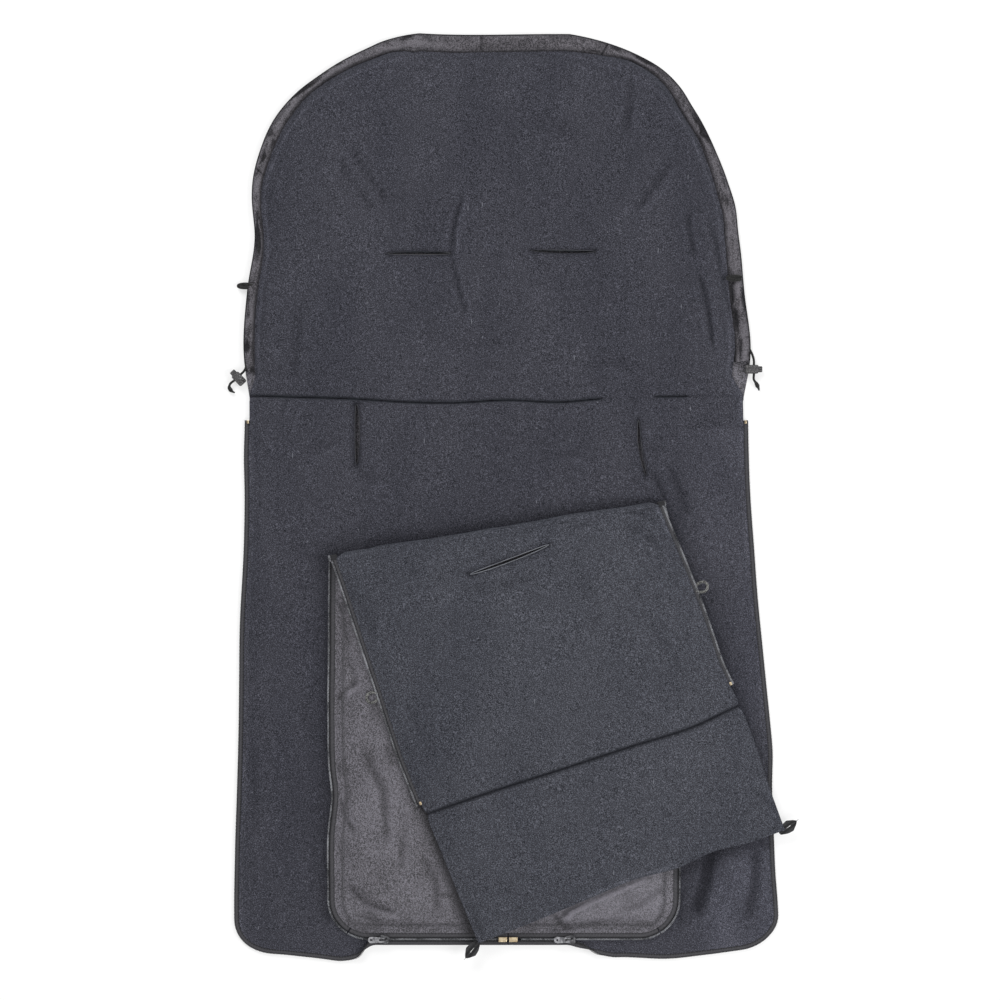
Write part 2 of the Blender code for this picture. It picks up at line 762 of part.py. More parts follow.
# A round cord along its points, thicker at its knots
def rod(name, points, radius, sides, slot, carrier=None, knots=(), cyclic=False):
    curve = bpy.data.curves.new(name, "CURVE")
    curve.dimensions = "3D"
    curve.bevel_depth = radius
    curve.bevel_resolution = sides
    curve.use_fill_caps = True
    spline = curve.splines.new("POLY")
    spline.points.add(len(points) - 1)
    for point, place in zip(spline.points, points):
        point.co = (*place, 1)
    for k in knots:
        spline.points[k].radius = KNOT_RADIUS / radius
    spline.use_cyclic_u = cyclic
    return finish(name, curve, slot, carrier)


# A flat plate drawn as rings, the first outside and the rest holes
def plate(name, rings, thickness, z, slot, carrier=None):
    curve = bpy.data.curves.new(name, "CURVE")
    curve.dimensions = "2D"
    curve.fill_mode = "BOTH"
    curve.extrude = thickness / 2
    origin = Vector(carrier["world"]) if carrier else Vector()
    for ring in rings:
        spline = curve.splines.new("POLY")
        spline.points.add(len(ring) - 1)
        for point, (x, y) in zip(spline.points, ring):
            point.co = (x - origin.x, y - origin.y, 0, 1)
        spline.use_cyclic_u = True
    made = finish(name, curve, slot)
    made.parent = carrier
    made.location.z = z - origin.z
    return made


# Hood border: a cloth channel, open at both ends
def hood_border(rim):
    shape = bmesh.new()
    along = len(rim) - 1
    bmesh.ops.create_grid(shape, x_segments=along, y_segments=BORDER_SIDES, size=1)
    for vert in shape.verts:
        x, y, inner_x, inner_y = rim[round((vert.co.x + 1) / 2 * along)]
        angle = (vert.co.y + 1) * pi
        outer, inner = Vector((x, y)), Vector((inner_x, inner_y))
        reach = (outer - inner) / 2
        reach -= reach.normalized() * BORDER_CLEAR / 2
        spot = outer - reach + reach * cos(angle)
        vert.co = (*spot, SHELL + GAP + BORDER_HALF_HEIGHT * (1 + sin(angle)))
    bmesh.ops.remove_doubles(shape, verts=shape.verts[:], dist=GAP / 10)
    made = finish("hood_border", mesh_from(shape, "hood_border"), "woven_shell", head_pivot)
    wall = made.modifiers.new("cloth", "SOLIDIFY")
    wall.thickness = BORDER_WALL
    wall.offset = -1


# Drawcord: through the channel, out of both ends, and through a cord lock to its knot
def cord_tail(hole, direction):
    straight = LOCK_WIDTH / 2 + GAP
    reach = straight + LOCK_TRAVEL
    distances = [-straight, reach] + [reach + TAIL_LENGTH * share for share in TAIL_SHARES]
    return [(*turned(distance, 0, direction, hole), LOCK_Z) for distance in distances]


def hood_drawcord(rim):
    z = SHELL + GAP + BORDER_HALF_HEIGHT
    points = [((x + inner_x) / 2, (y + inner_y) / 2, z) for x, y, inner_x, inner_y in rim]
    for k, share in CORD_OUT_SHARES:
        x, y, inner_x, _ = rim[k]
        points[k] = (x + (inner_x - x) * share, y, z)
    points = cord_tail(lock_hole(-1), LOCK_LEFT_TURN + pi / 2)[::-1] + points
    points += cord_tail(lock_hole(1), LOCK_RIGHT_TURN - pi / 2)
    knots = (1, len(points) - 2)
    rod("hood_drawcord", points, CORD_RADIUS, CORD_SIDES, "elastic_cord", head_pivot, knots)


# Zip tapes, thin bands along stations of three points, each with its coil
def ribbon(name, stations, slot, carrier):
    shape = bmesh.new()
    along, across = len(stations) - 1, len(stations[0]) - 1
    bmesh.ops.create_grid(shape, x_segments=along, y_segments=across, size=1)
    for vert in shape.verts:
        station = stations[round((vert.co.x + 1) / 2 * along)]
        vert.co = station[round((vert.co.y + 1) / 2 * across)]
    made = finish(name, mesh_from(shape, name), slot, carrier)
    cloth = made.modifiers.new("cloth", "SOLIDIFY")
    cloth.thickness = TAPE
    cloth.offset = 0


def outward(path, side):
    # Directions out of the cloth, along a path that runs down a side and then in along the foot
    found = []
    for k in range(len(path)):
        before, after = Vector(path[max(k - 1, 0)]), Vector(path[min(k + 1, len(path) - 1)])
        step = (after - before).normalized()
        found.append(Vector((-side * step.y, side * step.x)))
    return found


def zip_half(prefix, side, path, bends, coil_side, carrier=None, coil_end=None):
    # A bend holds the sewn edge's height, the knee's distance and height, the width past it, the slope
    stations, coil = [], []
    for spot, out, (low, knee, high, width, slope) in zip(path, outward(path, side), bends):
        places = [(TAPE_SEWN_OUT, low), (knee, high)]
        places.append((knee + width * cos(slope), high + width * sin(slope)))
        inset, rise = width - COIL_INSET, COIL_RISE * coil_side
        places.append((
            knee + inset * cos(slope) + rise * sin(slope),
            high + inset * sin(slope) - rise * cos(slope),
        ))
        points = [(*(Vector(spot) + out * distance), z) for distance, z in places]
        stations.append(points[:3])
        coil.append(points[3])
    end = "left" if side < 0 else "right"
    ribbon(f"{prefix}_zip_tape_{end}", stations, "zip_tape", carrier)
    rod(f"{prefix}_zip_coil_{end}", coil[:coil_end], COIL_RADIUS, COIL_SIDES, "zip_coil", carrier)


def foot_ends(side):
    # Where the coils and the tapes of the closed zip end, beside the foot stop
    coil_end = FOOT_STOP_GAP + FOOT_STOP_LENGTH + GAP
    return [ZIP_MEET + side * coil_end, ZIP_MEET + side * ZIP_END_GAP]


def mat_zip(side):
    chain_end = (CHAIN_LEFT if side < 0 else CHAIN_RIGHT) + side * CHAIN_BEYOND
    downs = between(LEG_LENGTH - ZIP_BELOW_SEAM, FOOT_CORNER, SIDE_STEPS)
    downs += [FOOT_CORNER * (1 - sin(turn)) for turn in between(0, pi / 2, ARC_STEPS)[1:]]
    path = [mat_place(side, d) for d in downs]
    foot = between(chain_end + side * PINCH_EASE, chain_end, TURN_STEPS)
    path += [(x, FOOT_Y + pinch_at(x)) for x in foot + foot_ends(side)]
    bends = []
    for x, _ in path:
        shut = ease(1 - side * (x - chain_end) / TAPE_TURN)
        closed_width, open_width = CHAIN_INSET - CHAIN_HALF_GAP, MAT_TAPE_OUT - MAT_TAPE_KNEE
        bends.append((
            MAT_TAPE_Z,
            MAT_TAPE_KNEE * (1 - shut),
            MAT_TAPE_Z + (CHAIN_Z - MAT_TAPE_Z) * shut,
            open_width + (closed_width - open_width) * shut,
            pi * shut,
        ))
    zip_half("mat", side, path, bends, 1, coil_end=-1)


def cover_corner(side, turn):
    edge = COVER_LEFT if side < 0 else COVER_RIGHT
    return edge - side * COVER_CORNER * (1 - sin(turn)), COVER_FOOT + COVER_CORNER * (1 - cos(turn))


def level_bends(path, base, above):
    width = COVER_TAPE_OUT - COVER_TAPE_KNEE
    heights = [base(x, y) + above for x, y in path]
    return [(z, COVER_TAPE_KNEE, z, width, 0.0) for z in heights]


def cover_zips(side):
    path = [cover_corner(side, turn) for turn in between(FOOT_TAPE_ARC, 0, ARC_STEPS)]
    path += [(x, COVER_FOOT) for x in foot_ends(side)]
    zip_half("cover_foot", side, path, level_bends(path, cover_base, THIN / 2), -1, coil_end=-1)
    edge = COVER_LEFT if side < 0 else COVER_RIGHT
    path = [(edge, y) for y in between(fold_y(edge) - FOLD_CLEAR, COVER_FOOT + COVER_CORNER, SIDE_STEPS)]
    turns = between(pi / 2, FOOT_TAPE_ARC + 2 * GAP / COVER_CORNER, ARC_STEPS)[1:]
    path += [cover_corner(side, turn) for turn in turns]
    zip_half("cover", side, path, level_bends(path, cover_base, THIN / 2), -1, cover_pivot)


def flap_zip(side):
    q = side * FLAP_HALF_WIDTH
    path = [flap_spot(p, q) for p in between(flap_start(q), FLAP_TAPE_END, SIDE_STEPS)]
    zip_half("flap", side, path, level_bends(path, flap_base, THIN), 1, flap_pivot)


# Metal end stops
def block(name, place, size, turn, slot, carrier=None):
    shape = bmesh.new()
    bmesh.ops.create_cube(shape, size=1, matrix=Matrix.Diagonal((*size, 1)))
    turning = Matrix.Translation(place) @ Matrix.Rotation(turn, 4, "Z")
    bmesh.ops.transform(shape, matrix=turning, verts=shape.verts)
    made = finish(name, mesh_from(shape, name), slot, carrier)
    edge = made.modifiers.new("edge", "BEVEL")
    edge.width = STOP_BEVEL
    edge.segments = 2
    return made


def zip_stops(side):
    end = "left" if side < 0 else "right"
    above = TAPE / 2 + COIL_LIFT + STOP_HEIGHT / 2
    size = (STOP_WIDTH, STOP_LENGTH, STOP_HEIGHT)
    x, y = mat_place(side, LEG_LENGTH - ZIP_BELOW_SEAM - STOP_LENGTH / 2)
    place = (x + side * MAT_TAPE_KNEE, y, MAT_TAPE_Z + above)
    block(f"mat_zip_stop_{end}", place, size, 0, "gilt_metal")
    q = side * FLAP_HALF_WIDTH
    x, y = flap_spot(FLAP_TAPE_END - STOP_LENGTH / 2, q + side * (COVER_TAPE_OUT - STOP_WIDTH))
    height = flap_base(*flap_spot(FLAP_TAPE_END, q)) + THIN + above
    block(f"flap_zip_stop_{end}", (x, y, height), size, FLAP_ANGLE + pi / 2, "gilt_metal", flap_pivot)
    x = ZIP_MEET + side * (FOOT_STOP_GAP + FOOT_STOP_LENGTH / 2)
    size = (FOOT_STOP_LENGTH, FOOT_STOP_WIDTH, STOP_HEIGHT)
    block(f"foot_zip_stop_{end}", (x, CHAIN_Y, CHAIN_Z + above), size, 0, "gilt_metal")


# A shape with straight walls, drawn as a ring in one plane. Plane XZ runs along Y, YZ along X
def prism(ring, low, high, plane="XY"):
    order = {"XY": (0, 1, 2), "XZ": (0, 2, 1), "YZ": (1, 2, 0)}[plane]
    shape = bmesh.new()
    verts = []
    for a, b in ring:
        place = Vector()
        place[order[0]], place[order[1]], place[order[2]] = a, b, low
        verts.append(shape.verts.new(place))
    floor = shape.faces.new(verts)
    lifted = bmesh.ops.extrude_face_region(shape, geom=[floor])["geom"]
    for vert in lifted:
        if isinstance(vert, bmesh.types.BMVert):
            vert.co[order[2]] = high
    return shape


def rectangle(a_low, a_high, b_low, b_high):
    return [(a_low, b_low), (a_high, b_low), (a_high, b_high), (a_low, b_high)]


def placed(shape, place, turn):
    turning = Matrix.Translation(place) @ Matrix.Rotation(turn, 4, "Z")
    bmesh.ops.transform(shape, matrix=turning, verts=shape.verts)
    return shape


def cutter(name, shape, place, turn, carrier):
    data = mesh_from(placed(shape, place, turn), name)
    data.transform(Matrix.Translation(-Vector(carrier["world"])))
    return tool(name, data, carrier)


# Slider: two plates joined by a wedge, with a lug over the top. It wedges open toward its own -X
def slider(side, x):
    end = "left" if side < 0 else "right"
    place, turn = (x, CHAIN_Y, CHAIN_Z), 0 if side < 0 else pi
    carrier = pivot(f"slider_{end}_pivot", place)
    half, half_width = SLIDER_LENGTH / 2, SLIDER_WIDTH / 2
    slot = TAPE / 2 + SLIDER_PLAY
    tunnel_top = COIL_RISE + COIL_RADIUS + SLIDER_PLAY
    tunnel_half = CHAIN_HALF_GAP + COIL_INSET + COIL_RADIUS + SLIDER_PLAY
    top = tunnel_top + SLIDER_PLATE
    low = -slot - SLIDER_PLATE

    corner = SLIDER_ROUND
    ring = [
        (-half, -half_width + corner), (-half, half_width - corner), (-half + corner, half_width),
        (half - corner, half_width - corner / 2), (half, half_width - corner),
        (half, -half_width + corner), (half - corner, -half_width + corner / 2), (-half + corner, -half_width),
    ]
    shape = placed(prism(ring, low, top), place, turn)
    body = finish(f"slider_body_{end}", mesh_from(shape, "slider_body"), "dark_metal", carrier)
    edge = body.modifiers.new("edge", "BEVEL")
    edge.width = SLIDER_EDGE

    reach = half + CUT_OVERRUN
    for hand in (-1, 1):
        ring = [
            (WEDGE_HALF_WIDTH, -slot), (half_width + CUT_OVERRUN, -slot), (half_width + CUT_OVERRUN, slot),
            (tunnel_half, slot), (tunnel_half, tunnel_top), (WEDGE_HALF_WIDTH, tunnel_top),
        ]
        ring = [(hand * a, b) for a, b in ring]
        boolean(body, cutter("slider_side", prism(ring, -reach, reach, "YZ"), place, turn, carrier))
    ring = rectangle(-WEDGE_HALF_WIDTH * 2, WEDGE_HALF_WIDTH * 2, -slot, tunnel_top)
    boolean(body, cutter("slider_heel", prism(ring, WEDGE_LENGTH - half, reach, "YZ"), place, turn, carrier))

    inside, outside = LUG_LENGTH / 2 - LUG_WALL, LUG_LENGTH / 2
    under, over, foot = top + LUG_CLEAR, top + LUG_CLEAR + LUG_WALL, top - LUG_SUNK
    ring = [
        (-outside, foot), (-outside, over), (outside, over), (outside, foot),
        (inside, foot), (inside, under), (-inside, under), (-inside, foot),
    ]
    lug = prism(ring, -LUG_WIDTH / 2, LUG_WIDTH / 2, "XZ")
    boolean(body, cutter("slider_lug", lug, place, turn, carrier), "UNION")
    pull_tab(end, (x, CHAIN_Y, CHAIN_Z + top + LUG_CLEAR / 2), carrier)


# Pull tab: a plate with an eye for the lug and a hole at its end. It points to -X
def pull_tab(end, place, carrier):
    hinge = pivot(f"pull_tab_{end}_pivot", place, carrier)
    bar, tip = PULL_BAR / 2, -PULL_LENGTH
    root, wide = PULL_ROOT_HALF_WIDTH, PULL_HALF_WIDTH
    outline = [(bar, root), (bar, -root), (tip + wide, -wide)]
    for k in range(1, PULL_END_STEPS):
        turn = pi * k / PULL_END_STEPS
        outline.append((tip + wide - wide * sin(turn), -wide * cos(turn)))
    outline.append((tip + wide, wide))
    eye_half = LUG_WIDTH / 2 + PULL_EYE_PLAY
    eye = rectangle(-bar - PULL_EYE_LENGTH, -bar, -eye_half, eye_half)
    hole = [
        (tip + wide + PULL_HOLE_RADIUS * cos(turn), PULL_HOLE_RADIUS * sin(turn))
        for turn in between(0, 2 * pi, PULL_END_STEPS)[:-1]
    ]
    rings = [[(place[0] + x, place[1] + y) for x, y in ring] for ring in (outline, eye, hole)]
    plate(f"pull_tab_{end}", rings, PULL_THICKNESS, place[2], "pull_metal", hinge)


# Elastic loop, a closed ring of cord beside an edge
def elastic_loop(name, root, direction, z, carrier):
    straight = LOOP_LENGTH / 2 - LOOP_HALF_WIDTH
    points = []
    for k in range(LOOP_STEPS):
        turn = 2 * pi * (k + 1 / 2) / LOOP_STEPS
        x = LOOP_LENGTH / 2 + LOOP_HALF_WIDTH * cos(turn) + (straight if cos(turn) > 0 else -straight)
        points.append((*turned(x, LOOP_HALF_WIDTH * sin(turn), direction, root), z))
    rod(name, points, ELASTIC_RADIUS, ELASTIC_SIDES, "elastic_cord", carrier, cyclic=True)


def elastic_loops():
    clear = ELASTIC_RADIUS + LOOP_CLEAR
    y = SEAM_Y + HOOD_LOOP_LEFT_ABOVE
    middle = SHELL + GAP + BORDER_HALF_HEIGHT
    elastic_loop("hood_loop_left", (head_edge(y, -1, False) - clear, y), pi, middle, head_pivot)
    y = SEAM_Y + HOOD_LOOP_RIGHT_ABOVE
    x = head_edge(y, 1, False) - BORDER_RIGHT / 2 + LOOP_LENGTH / 2
    top = SHELL + GAP + 2 * BORDER_HALF_HEIGHT + clear
    elastic_loop("hood_loop_right", (x, y), pi, top, head_pivot)
    for end, side in (("left", -1), ("right", 1)):
        rim = flap_spot(FLAP_LOOP_AT, side * FLAP_HALF_WIDTH)
        root = flap_spot(FLAP_LOOP_AT, side * (FLAP_HALF_WIDTH + COVER_TAPE_OUT + clear))
        out = FLAP_ANGLE + pi / 2 + (pi if side < 0 else 0)
        elastic_loop(f"flap_loop_{end}", root, out, flap_base(*rim) + THIN / 2, flap_pivot)


# Pointed tape loop at a corner of the collar
def corner_loop(end, side, turn, clear):
    corner = flap_spot(FLAP_LENGTH + GAP / 2 + COLLAR_LENGTH, side * FLAP_HALF_WIDTH)
    root = turned(clear, 0, turn, corner)
    outline, hole = [], []
    for along, wide in CORNER_LOOP_SHARES:
        outline.append((CORNER_LOOP_LENGTH * along, CORNER_LOOP_HALF * wide))
    for along, wide in CORNER_LOOP_SHARES[1:-1]:
        hole.append((CORNER_LOOP_LENGTH * along, CORNER_LOOP_HALF * CORNER_LOOP_HOLE_SHARE * wide))
    rings = [ring + [(x, -y) for x, y in ring[::-1]] for ring in (outline, hole)]
    rings = [[turned(x, y, turn, root) for x, y in ring] for ring in rings]
    z = flap_base(*corner) + THIN / 2
    plate(f"collar_loop_{end}", rings, CORNER_LOOP_THICKNESS, z, "zip_tape", collar_pivot)


# Cord lock: a barrel, a plunger that comes out toward +X, and the spring between them
def cord_lock(end, hole, turn):
    place = (*hole, LOCK_Z)
    carrier = pivot(f"cord_lock_{end}_pivot", place, head_pivot)
    mouth, back = LOCK_HOLE_FROM_MOUTH, LOCK_HOLE_FROM_MOUTH - LOCK_LENGTH
    half, half_high = LOCK_WIDTH / 2, LOCK_HEIGHT / 2
    shape = placed(prism(rectangle(-half, half, -half_high, half_high), back, mouth, "YZ"), place, turn)
    barrel = finish(f"cord_lock_barrel_{end}", mesh_from(shape, "barrel"), "lock_plastic", carrier)
    edge = barrel.modifiers.new("edge", "BEVEL")
    edge.width = LOCK_EDGE
    edge.segments = 2
    inner, inner_high = half - LOCK_WALL, half_high - LOCK_WALL
    ring = rectangle(-inner, inner, -inner_high, inner_high)
    cavity = prism(ring, back + LOCK_WALL, mouth + CUT_OVERRUN, "YZ")
    boolean(barrel, cutter("lock_cavity", cavity, place, turn, carrier))
    bore = CORD_RADIUS + CORD_PLAY
    ring = [(bore * cos(a), bore * sin(a)) for a in between(0, 2 * pi, HOLE_STEPS)[:-1]]
    cord = prism(ring, -half - CUT_OVERRUN, half + CUT_OVERRUN, "XZ")
    boolean(barrel, cutter("lock_bore", cord, place, turn, carrier))

    heel = -bore - PLUNGER_PLAY - PLUNGER_HEEL
    wide, high = inner - PLUNGER_PLAY, inner_high - PLUNGER_PLAY
    slider_pivot = pivot(f"cord_lock_{end}_plunger_pivot", place, carrier)
    shape = placed(
        prism(rectangle(-wide, wide, -high, high), heel, mouth + PLUNGER_SHOWN, "YZ"), place, turn
    )
    plunger = finish(
        f"cord_lock_plunger_{end}", mesh_from(shape, "plunger"), "lock_plastic", slider_pivot
    )
    edge = plunger.modifiers.new("edge", "BEVEL")
    edge.width = PLUNGER_EDGE
    edge.segments = 2
    ring = rectangle(heel + PLUNGER_HEEL, bore + PLUNGER_PLAY + PLUNGER_TRAVEL, -bore, bore)
    window = prism(ring, -half - CUT_OVERRUN, half + CUT_OVERRUN, "XZ")
    boolean(plunger, cutter("plunger_window", window, place, turn, slider_pivot))

    low = back + LOCK_WALL + SPRING_WIRE + GAP
    high_end = heel - PLUNGER_TRAVEL - SPRING_WIRE - GAP
    count = round(SPRING_TURNS * SPRING_STEPS)
    points = []
    for k in range(count + 1):
        angle = 2 * pi * k / SPRING_STEPS
        x = low + (high_end - low) * k / count
        y, z = SPRING_RADIUS * cos(angle), SPRING_RADIUS * sin(angle)
        points.append((*turned(x, y, turn, hole), LOCK_Z + z))
    rod(f"cord_lock_spring_{end}", points, SPRING_WIRE, 0, "spring_steel", carrier)


mat()
head()
hood_border(hood_rim(BORDER_END_LEFT, BORDER_END_RIGHT))
hood_drawcord(hood_rim(BORDER_END_LEFT, BORDER_END_RIGHT))
cover()
flap()
collar()
for hand in (-1, 1):
    mat_zip(hand)
    cover_zips(hand)
    flap_zip(hand)
    zip_stops(hand)
slider(-1, CHAIN_LEFT)
slider(1, CHAIN_RIGHT)
elastic_loops()
corner_loop("left", -1, CORNER_LOOP_LEFT_TURN, CORNER_LOOP_LEFT_CLEAR)
corner_loop("right", 1, CORNER_LOOP_RIGHT_TURN, CORNER_LOOP_RIGHT_CLEAR)
cord_lock("left", lock_hole(-1), LOCK_LEFT_TURN)
cord_lock("right", lock_hole(1), LOCK_RIGHT_TURN)
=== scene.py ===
import math

import bpy
import numpy as np
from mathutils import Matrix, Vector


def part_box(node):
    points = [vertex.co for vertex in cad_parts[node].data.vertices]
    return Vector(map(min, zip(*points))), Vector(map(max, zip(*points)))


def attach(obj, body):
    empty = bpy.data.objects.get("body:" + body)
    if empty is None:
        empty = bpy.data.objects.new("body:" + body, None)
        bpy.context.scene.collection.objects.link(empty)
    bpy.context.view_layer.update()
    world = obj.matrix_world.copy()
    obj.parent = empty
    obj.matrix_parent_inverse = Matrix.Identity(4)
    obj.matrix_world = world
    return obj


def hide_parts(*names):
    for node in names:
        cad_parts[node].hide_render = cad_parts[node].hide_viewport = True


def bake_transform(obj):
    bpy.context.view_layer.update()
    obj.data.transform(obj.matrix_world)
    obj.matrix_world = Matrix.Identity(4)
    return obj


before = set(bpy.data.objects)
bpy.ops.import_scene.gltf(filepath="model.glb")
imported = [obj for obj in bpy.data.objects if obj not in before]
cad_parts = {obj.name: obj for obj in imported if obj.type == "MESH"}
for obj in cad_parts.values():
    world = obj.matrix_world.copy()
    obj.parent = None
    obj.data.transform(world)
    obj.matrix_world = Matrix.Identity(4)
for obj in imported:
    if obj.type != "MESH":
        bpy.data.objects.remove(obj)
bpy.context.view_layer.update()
print("frame loaded")


# Small helpers for numbers
def ease(t):
    t = np.clip(t, 0, 1)
    return t * t * (3 - 2 * t)


def ramp(t):
    return 1 - (1 - np.clip(t, 0, 1)) ** 2


def levelOff(value, most):
    # Hills rise no higher than most, hollows stay as they are
    return np.where(value > 0, most * np.tanh(value / most), value)


def bell(distance, width):
    # 1 where distance is 0, and falling off over width
    return np.exp(-(distance / width) ** 2)


def inset(distance, radius):
    # How far a round corner draws the side in
    reach = np.clip(radius - distance, 0, radius)
    return radius - np.sqrt(radius**2 - reach**2)


def alongTable(table, t, column):
    # A smooth curve through the rows of a table
    rows = np.array(table, float)
    t = np.clip(t, rows[0, 0], rows[-1, 0])
    slopes = np.gradient(rows[:, column], rows[:, 0])
    k = np.clip(np.searchsorted(rows[:, 0], t, "right") - 1, 0, len(rows) - 2)
    step = rows[k + 1, 0] - rows[k, 0]
    x = (t - rows[k, 0]) / step
    a, b = rows[k, column], rows[k + 1, column]
    return ((2 * x**3 - 3 * x**2 + 1) * a + (x**3 - 2 * x**2 + x) * slopes[k] * step
            + (3 * x**2 - 2 * x**3) * b + (x**3 - x**2) * slopes[k + 1] * step)


def stepsOf(points):
    # Length along a line of points, at each of them
    return np.concatenate([[0], np.cumsum(np.linalg.norm(np.diff(points, axis=0), axis=1))])


def drift(x, y, size, seed):
    # Smooth random hills about as wide as size, between -1 and 1
    grid = np.random.default_rng(seed).uniform(-1, 1, (64, 64))
    gx, gy = np.asarray(x) / size + 31.3, np.asarray(y) / size + 29.7
    ix, iy = np.floor(gx).astype(int), np.floor(gy).astype(int)
    fx, fy = ease(gx - ix), ease(gy - iy)
    ix, iy, jx, jy = ix % 64, iy % 64, (ix + 1) % 64, (iy + 1) % 64
    low = grid[iy, ix] * (1 - fx) + grid[iy, jx] * fx
    high = grid[jy, ix] * (1 - fx) + grid[jy, jx] * fx
    return low * (1 - fy) + high * fy


def toEdges(u, share=0.3):
    # Columns a little closer together near both edges
    return u + share * np.sin(np.pi * u) / np.pi


def photoPoint(px, py):
    return (px - 506) / 1000, (497 - py) / 1000


def awayFrom(x, y, line):
    # Distance to a line through photo points, and the share of the way along it
    points = [photoPoint(*p) for p in line]
    best, share = np.full(np.shape(x), 9.0), np.zeros(np.shape(x))
    lengths = [math.dist(a, b) for a, b in zip(points, points[1:])]
    done = 0
    for a, b, length in zip(points, points[1:], lengths):
        t = ((x - a[0]) * (b[0] - a[0]) + (y - a[1]) * (b[1] - a[1])) / length**2
        t = np.clip(t, 0, 1)
        d = np.hypot(x - a[0] - t * (b[0] - a[0]), y - a[1] - t * (b[1] - a[1]))
        closer = d < best
        best = np.where(closer, d, best)
        share = np.where(closer, (done + t * length) / sum(lengths), share)
        done += length
    return best, share


def creases(x, y, marks):
    # Each mark: photo points, width and depth in millimetres. A groove with a soft lip on both sides
    total = np.zeros(np.shape(x))
    for line, width, depth in marks:
        d, share = awayFrom(x, y, line)
        fade = ease(share * 5) * ease((1 - share) * 5)
        w = width / 1000
        total -= depth / 1000 * fade * (bell(d, w) - 0.45 * bell(d - 2 * w, w))
    return total


def clothRelief(x, y, settings):
    # The creases and hills of one cloth
    relief = creases(x, y, settings["creases"])
    for size, height, seed in settings["hills"]:
        relief = relief + height * drift(x, y, size, seed)
    return relief


# The bag's own plan and heights, the same as the frame's
bag = {
    "footY": -0.461, "seamY": 0.097, "hoodY": 0.461, "matHalf": 0.267, "footCorner": 0.034,
    "hoodHalf": 0.240, "hoodRound": 0.175, "hoodFlat": 0.005, "headX": -0.0115,
    "borderLeft": 0.010, "borderRight": 0.017, "borderTop": 0.017, "borderEndLeft": 0.029, "borderEndRight": 0.040,
    "hoodMiddle": 0.200, "shell": 0.0007, "lining": 0.0013, "thin": 0.0023, "rim": 0.0035,
    "matSwell": 0.0065, "coverSwell": 0.0045, "coverAbove": 0.0008, "flapLow": 0.0191, "foldZ": 0.01895,
    "coverFoot": -0.4366, "coverFootLow": 0.00435,
    "chainLeft": -0.122, "chainRight": 0.064, "chainBeyond": 0.008, "meet": 0.002,
    "pinch": 0.0118, "pinchEase": 0.040, "pinchFade": 0.080,
    "coverLeft": -0.169, "coverRight": 0.167, "coverCorner": 0.034,
    "foldX": -0.011, "foldY": -0.036, "foldTurn": math.radians(9.3), "foldClear": 0.001,
    "flapTurn": math.radians(-69), "flapHalf": 0.162, "flapLength": 0.242, "flapEnd": 0.376,
}
# Half widths of both sides, as shares, by the share of the way up the part
matSides = (
    (0, 1, 1), (.09, 1, .995), (.3, .985, .976), (.5, .982, .955), (.7, .966, .918), (.85, .958, .898),
    (1, .963, .89),
)
headSides = (
    (0, 1.023, 1.04), (.13, 1.05, 1.072), (.3, 1.035, 1.045), (.45, .998, 1.018), (.56, 1.004, .995), (1, 1, 1),
)

# How far the cloth's left and right edges wander from that plan, by height up the bag
matWander = (
    (-.461, .0005, .0022), (-.42, .0008, .0022), (-.37, .0014, .0010), (-.34, .0020, .0012), (-.29, .0020, .0018),
    (-.255, .0013, .0038), (-.225, .0007, .0026), (-.19, .0006, .0010), (-.12, .0020, 0), (-.05, .0010, .0004),
    (0, .0015, 0), (.04, .0022, 0), (.075, .0006, 0), (.11, 0, 0),
)
# How far the foot edge lies above its plan, from left to right
footWander = (
    (-.27, .0058), (-.246, .0078), (-.226, .0070), (-.206, .0050), (-.186, .0028), (-.166, 0), (-.148, -.0026),
    (-.132, 0), (-.126, 0), (-.08, 0), (-.02, 0), (.03, 0), (.056, 0), (.062, 0), (.076, -.0030), (.094, .0020),
    (.114, .0042), (.134, .0036), (.154, .0026), (.20, .0046), (.235, .0050), (.27, .0030),
)


def matSide(y, side):
    t = (y - bag["footY"]) / (bag["seamY"] - bag["footY"])
    column = 1 if side < 0 else 2
    return side * (bag["matHalf"] * alongTable(matSides, t, column) + alongTable(matWander, y, column))


def hoodShare(distance):
    # Share of the hood's half width at a distance below its top
    t = np.clip((distance + bag["hoodFlat"]) / (bag["hoodRound"] + bag["hoodFlat"]), 0, 1)
    return (1 - (1 - t) ** 2.2) ** (1 / 2.4)


def headSide(y, side, inner):
    share = alongTable(headSides, (y - bag["seamY"]) / (bag["hoodY"] - bag["seamY"]), 1 if side < 0 else 2)
    half, top = bag["hoodHalf"] * share, bag["hoodY"]
    if inner:
        border = bag["borderLeft"] if side < 0 else bag["borderRight"]
        half = half - border * ease((y - bag["seamY"]) / bag["borderEndLeft"])
        top -= bag["borderTop"]
    return bag["headX"] + side * half * hoodShare(top - y)


def footLift(x, y):
    # The closed zip draws the foot up in the middle, and the right corner lies a little higher
    left = ease((x - bag["chainLeft"] + bag["chainBeyond"]) / bag["pinchEase"] + 1)
    right = ease((bag["chainRight"] + bag["chainBeyond"] - x) / bag["pinchEase"] + 1)
    corner = .0080 * np.clip((x - .155) / .090, 0, 1.2) ** 2
    lift = bag["pinch"] * left * right + corner + alongTable(footWander, x, 1)
    return lift * np.clip(1 - (y - bag["footY"]) / bag["pinchFade"], 0, 1)


def backEdges(y, inner=True):
    onMat = y < bag["seamY"]
    corner = inset(y - bag["footY"], bag["footCorner"])
    left = np.where(onMat, matSide(y, -1) + corner, headSide(y, -1, inner))
    right = np.where(onMat, matSide(y, 1) - corner, headSide(y, 1, inner))
    return left, right


def footShare(y):
    return ramp((y - bag["coverFoot"] - .003) / .052)


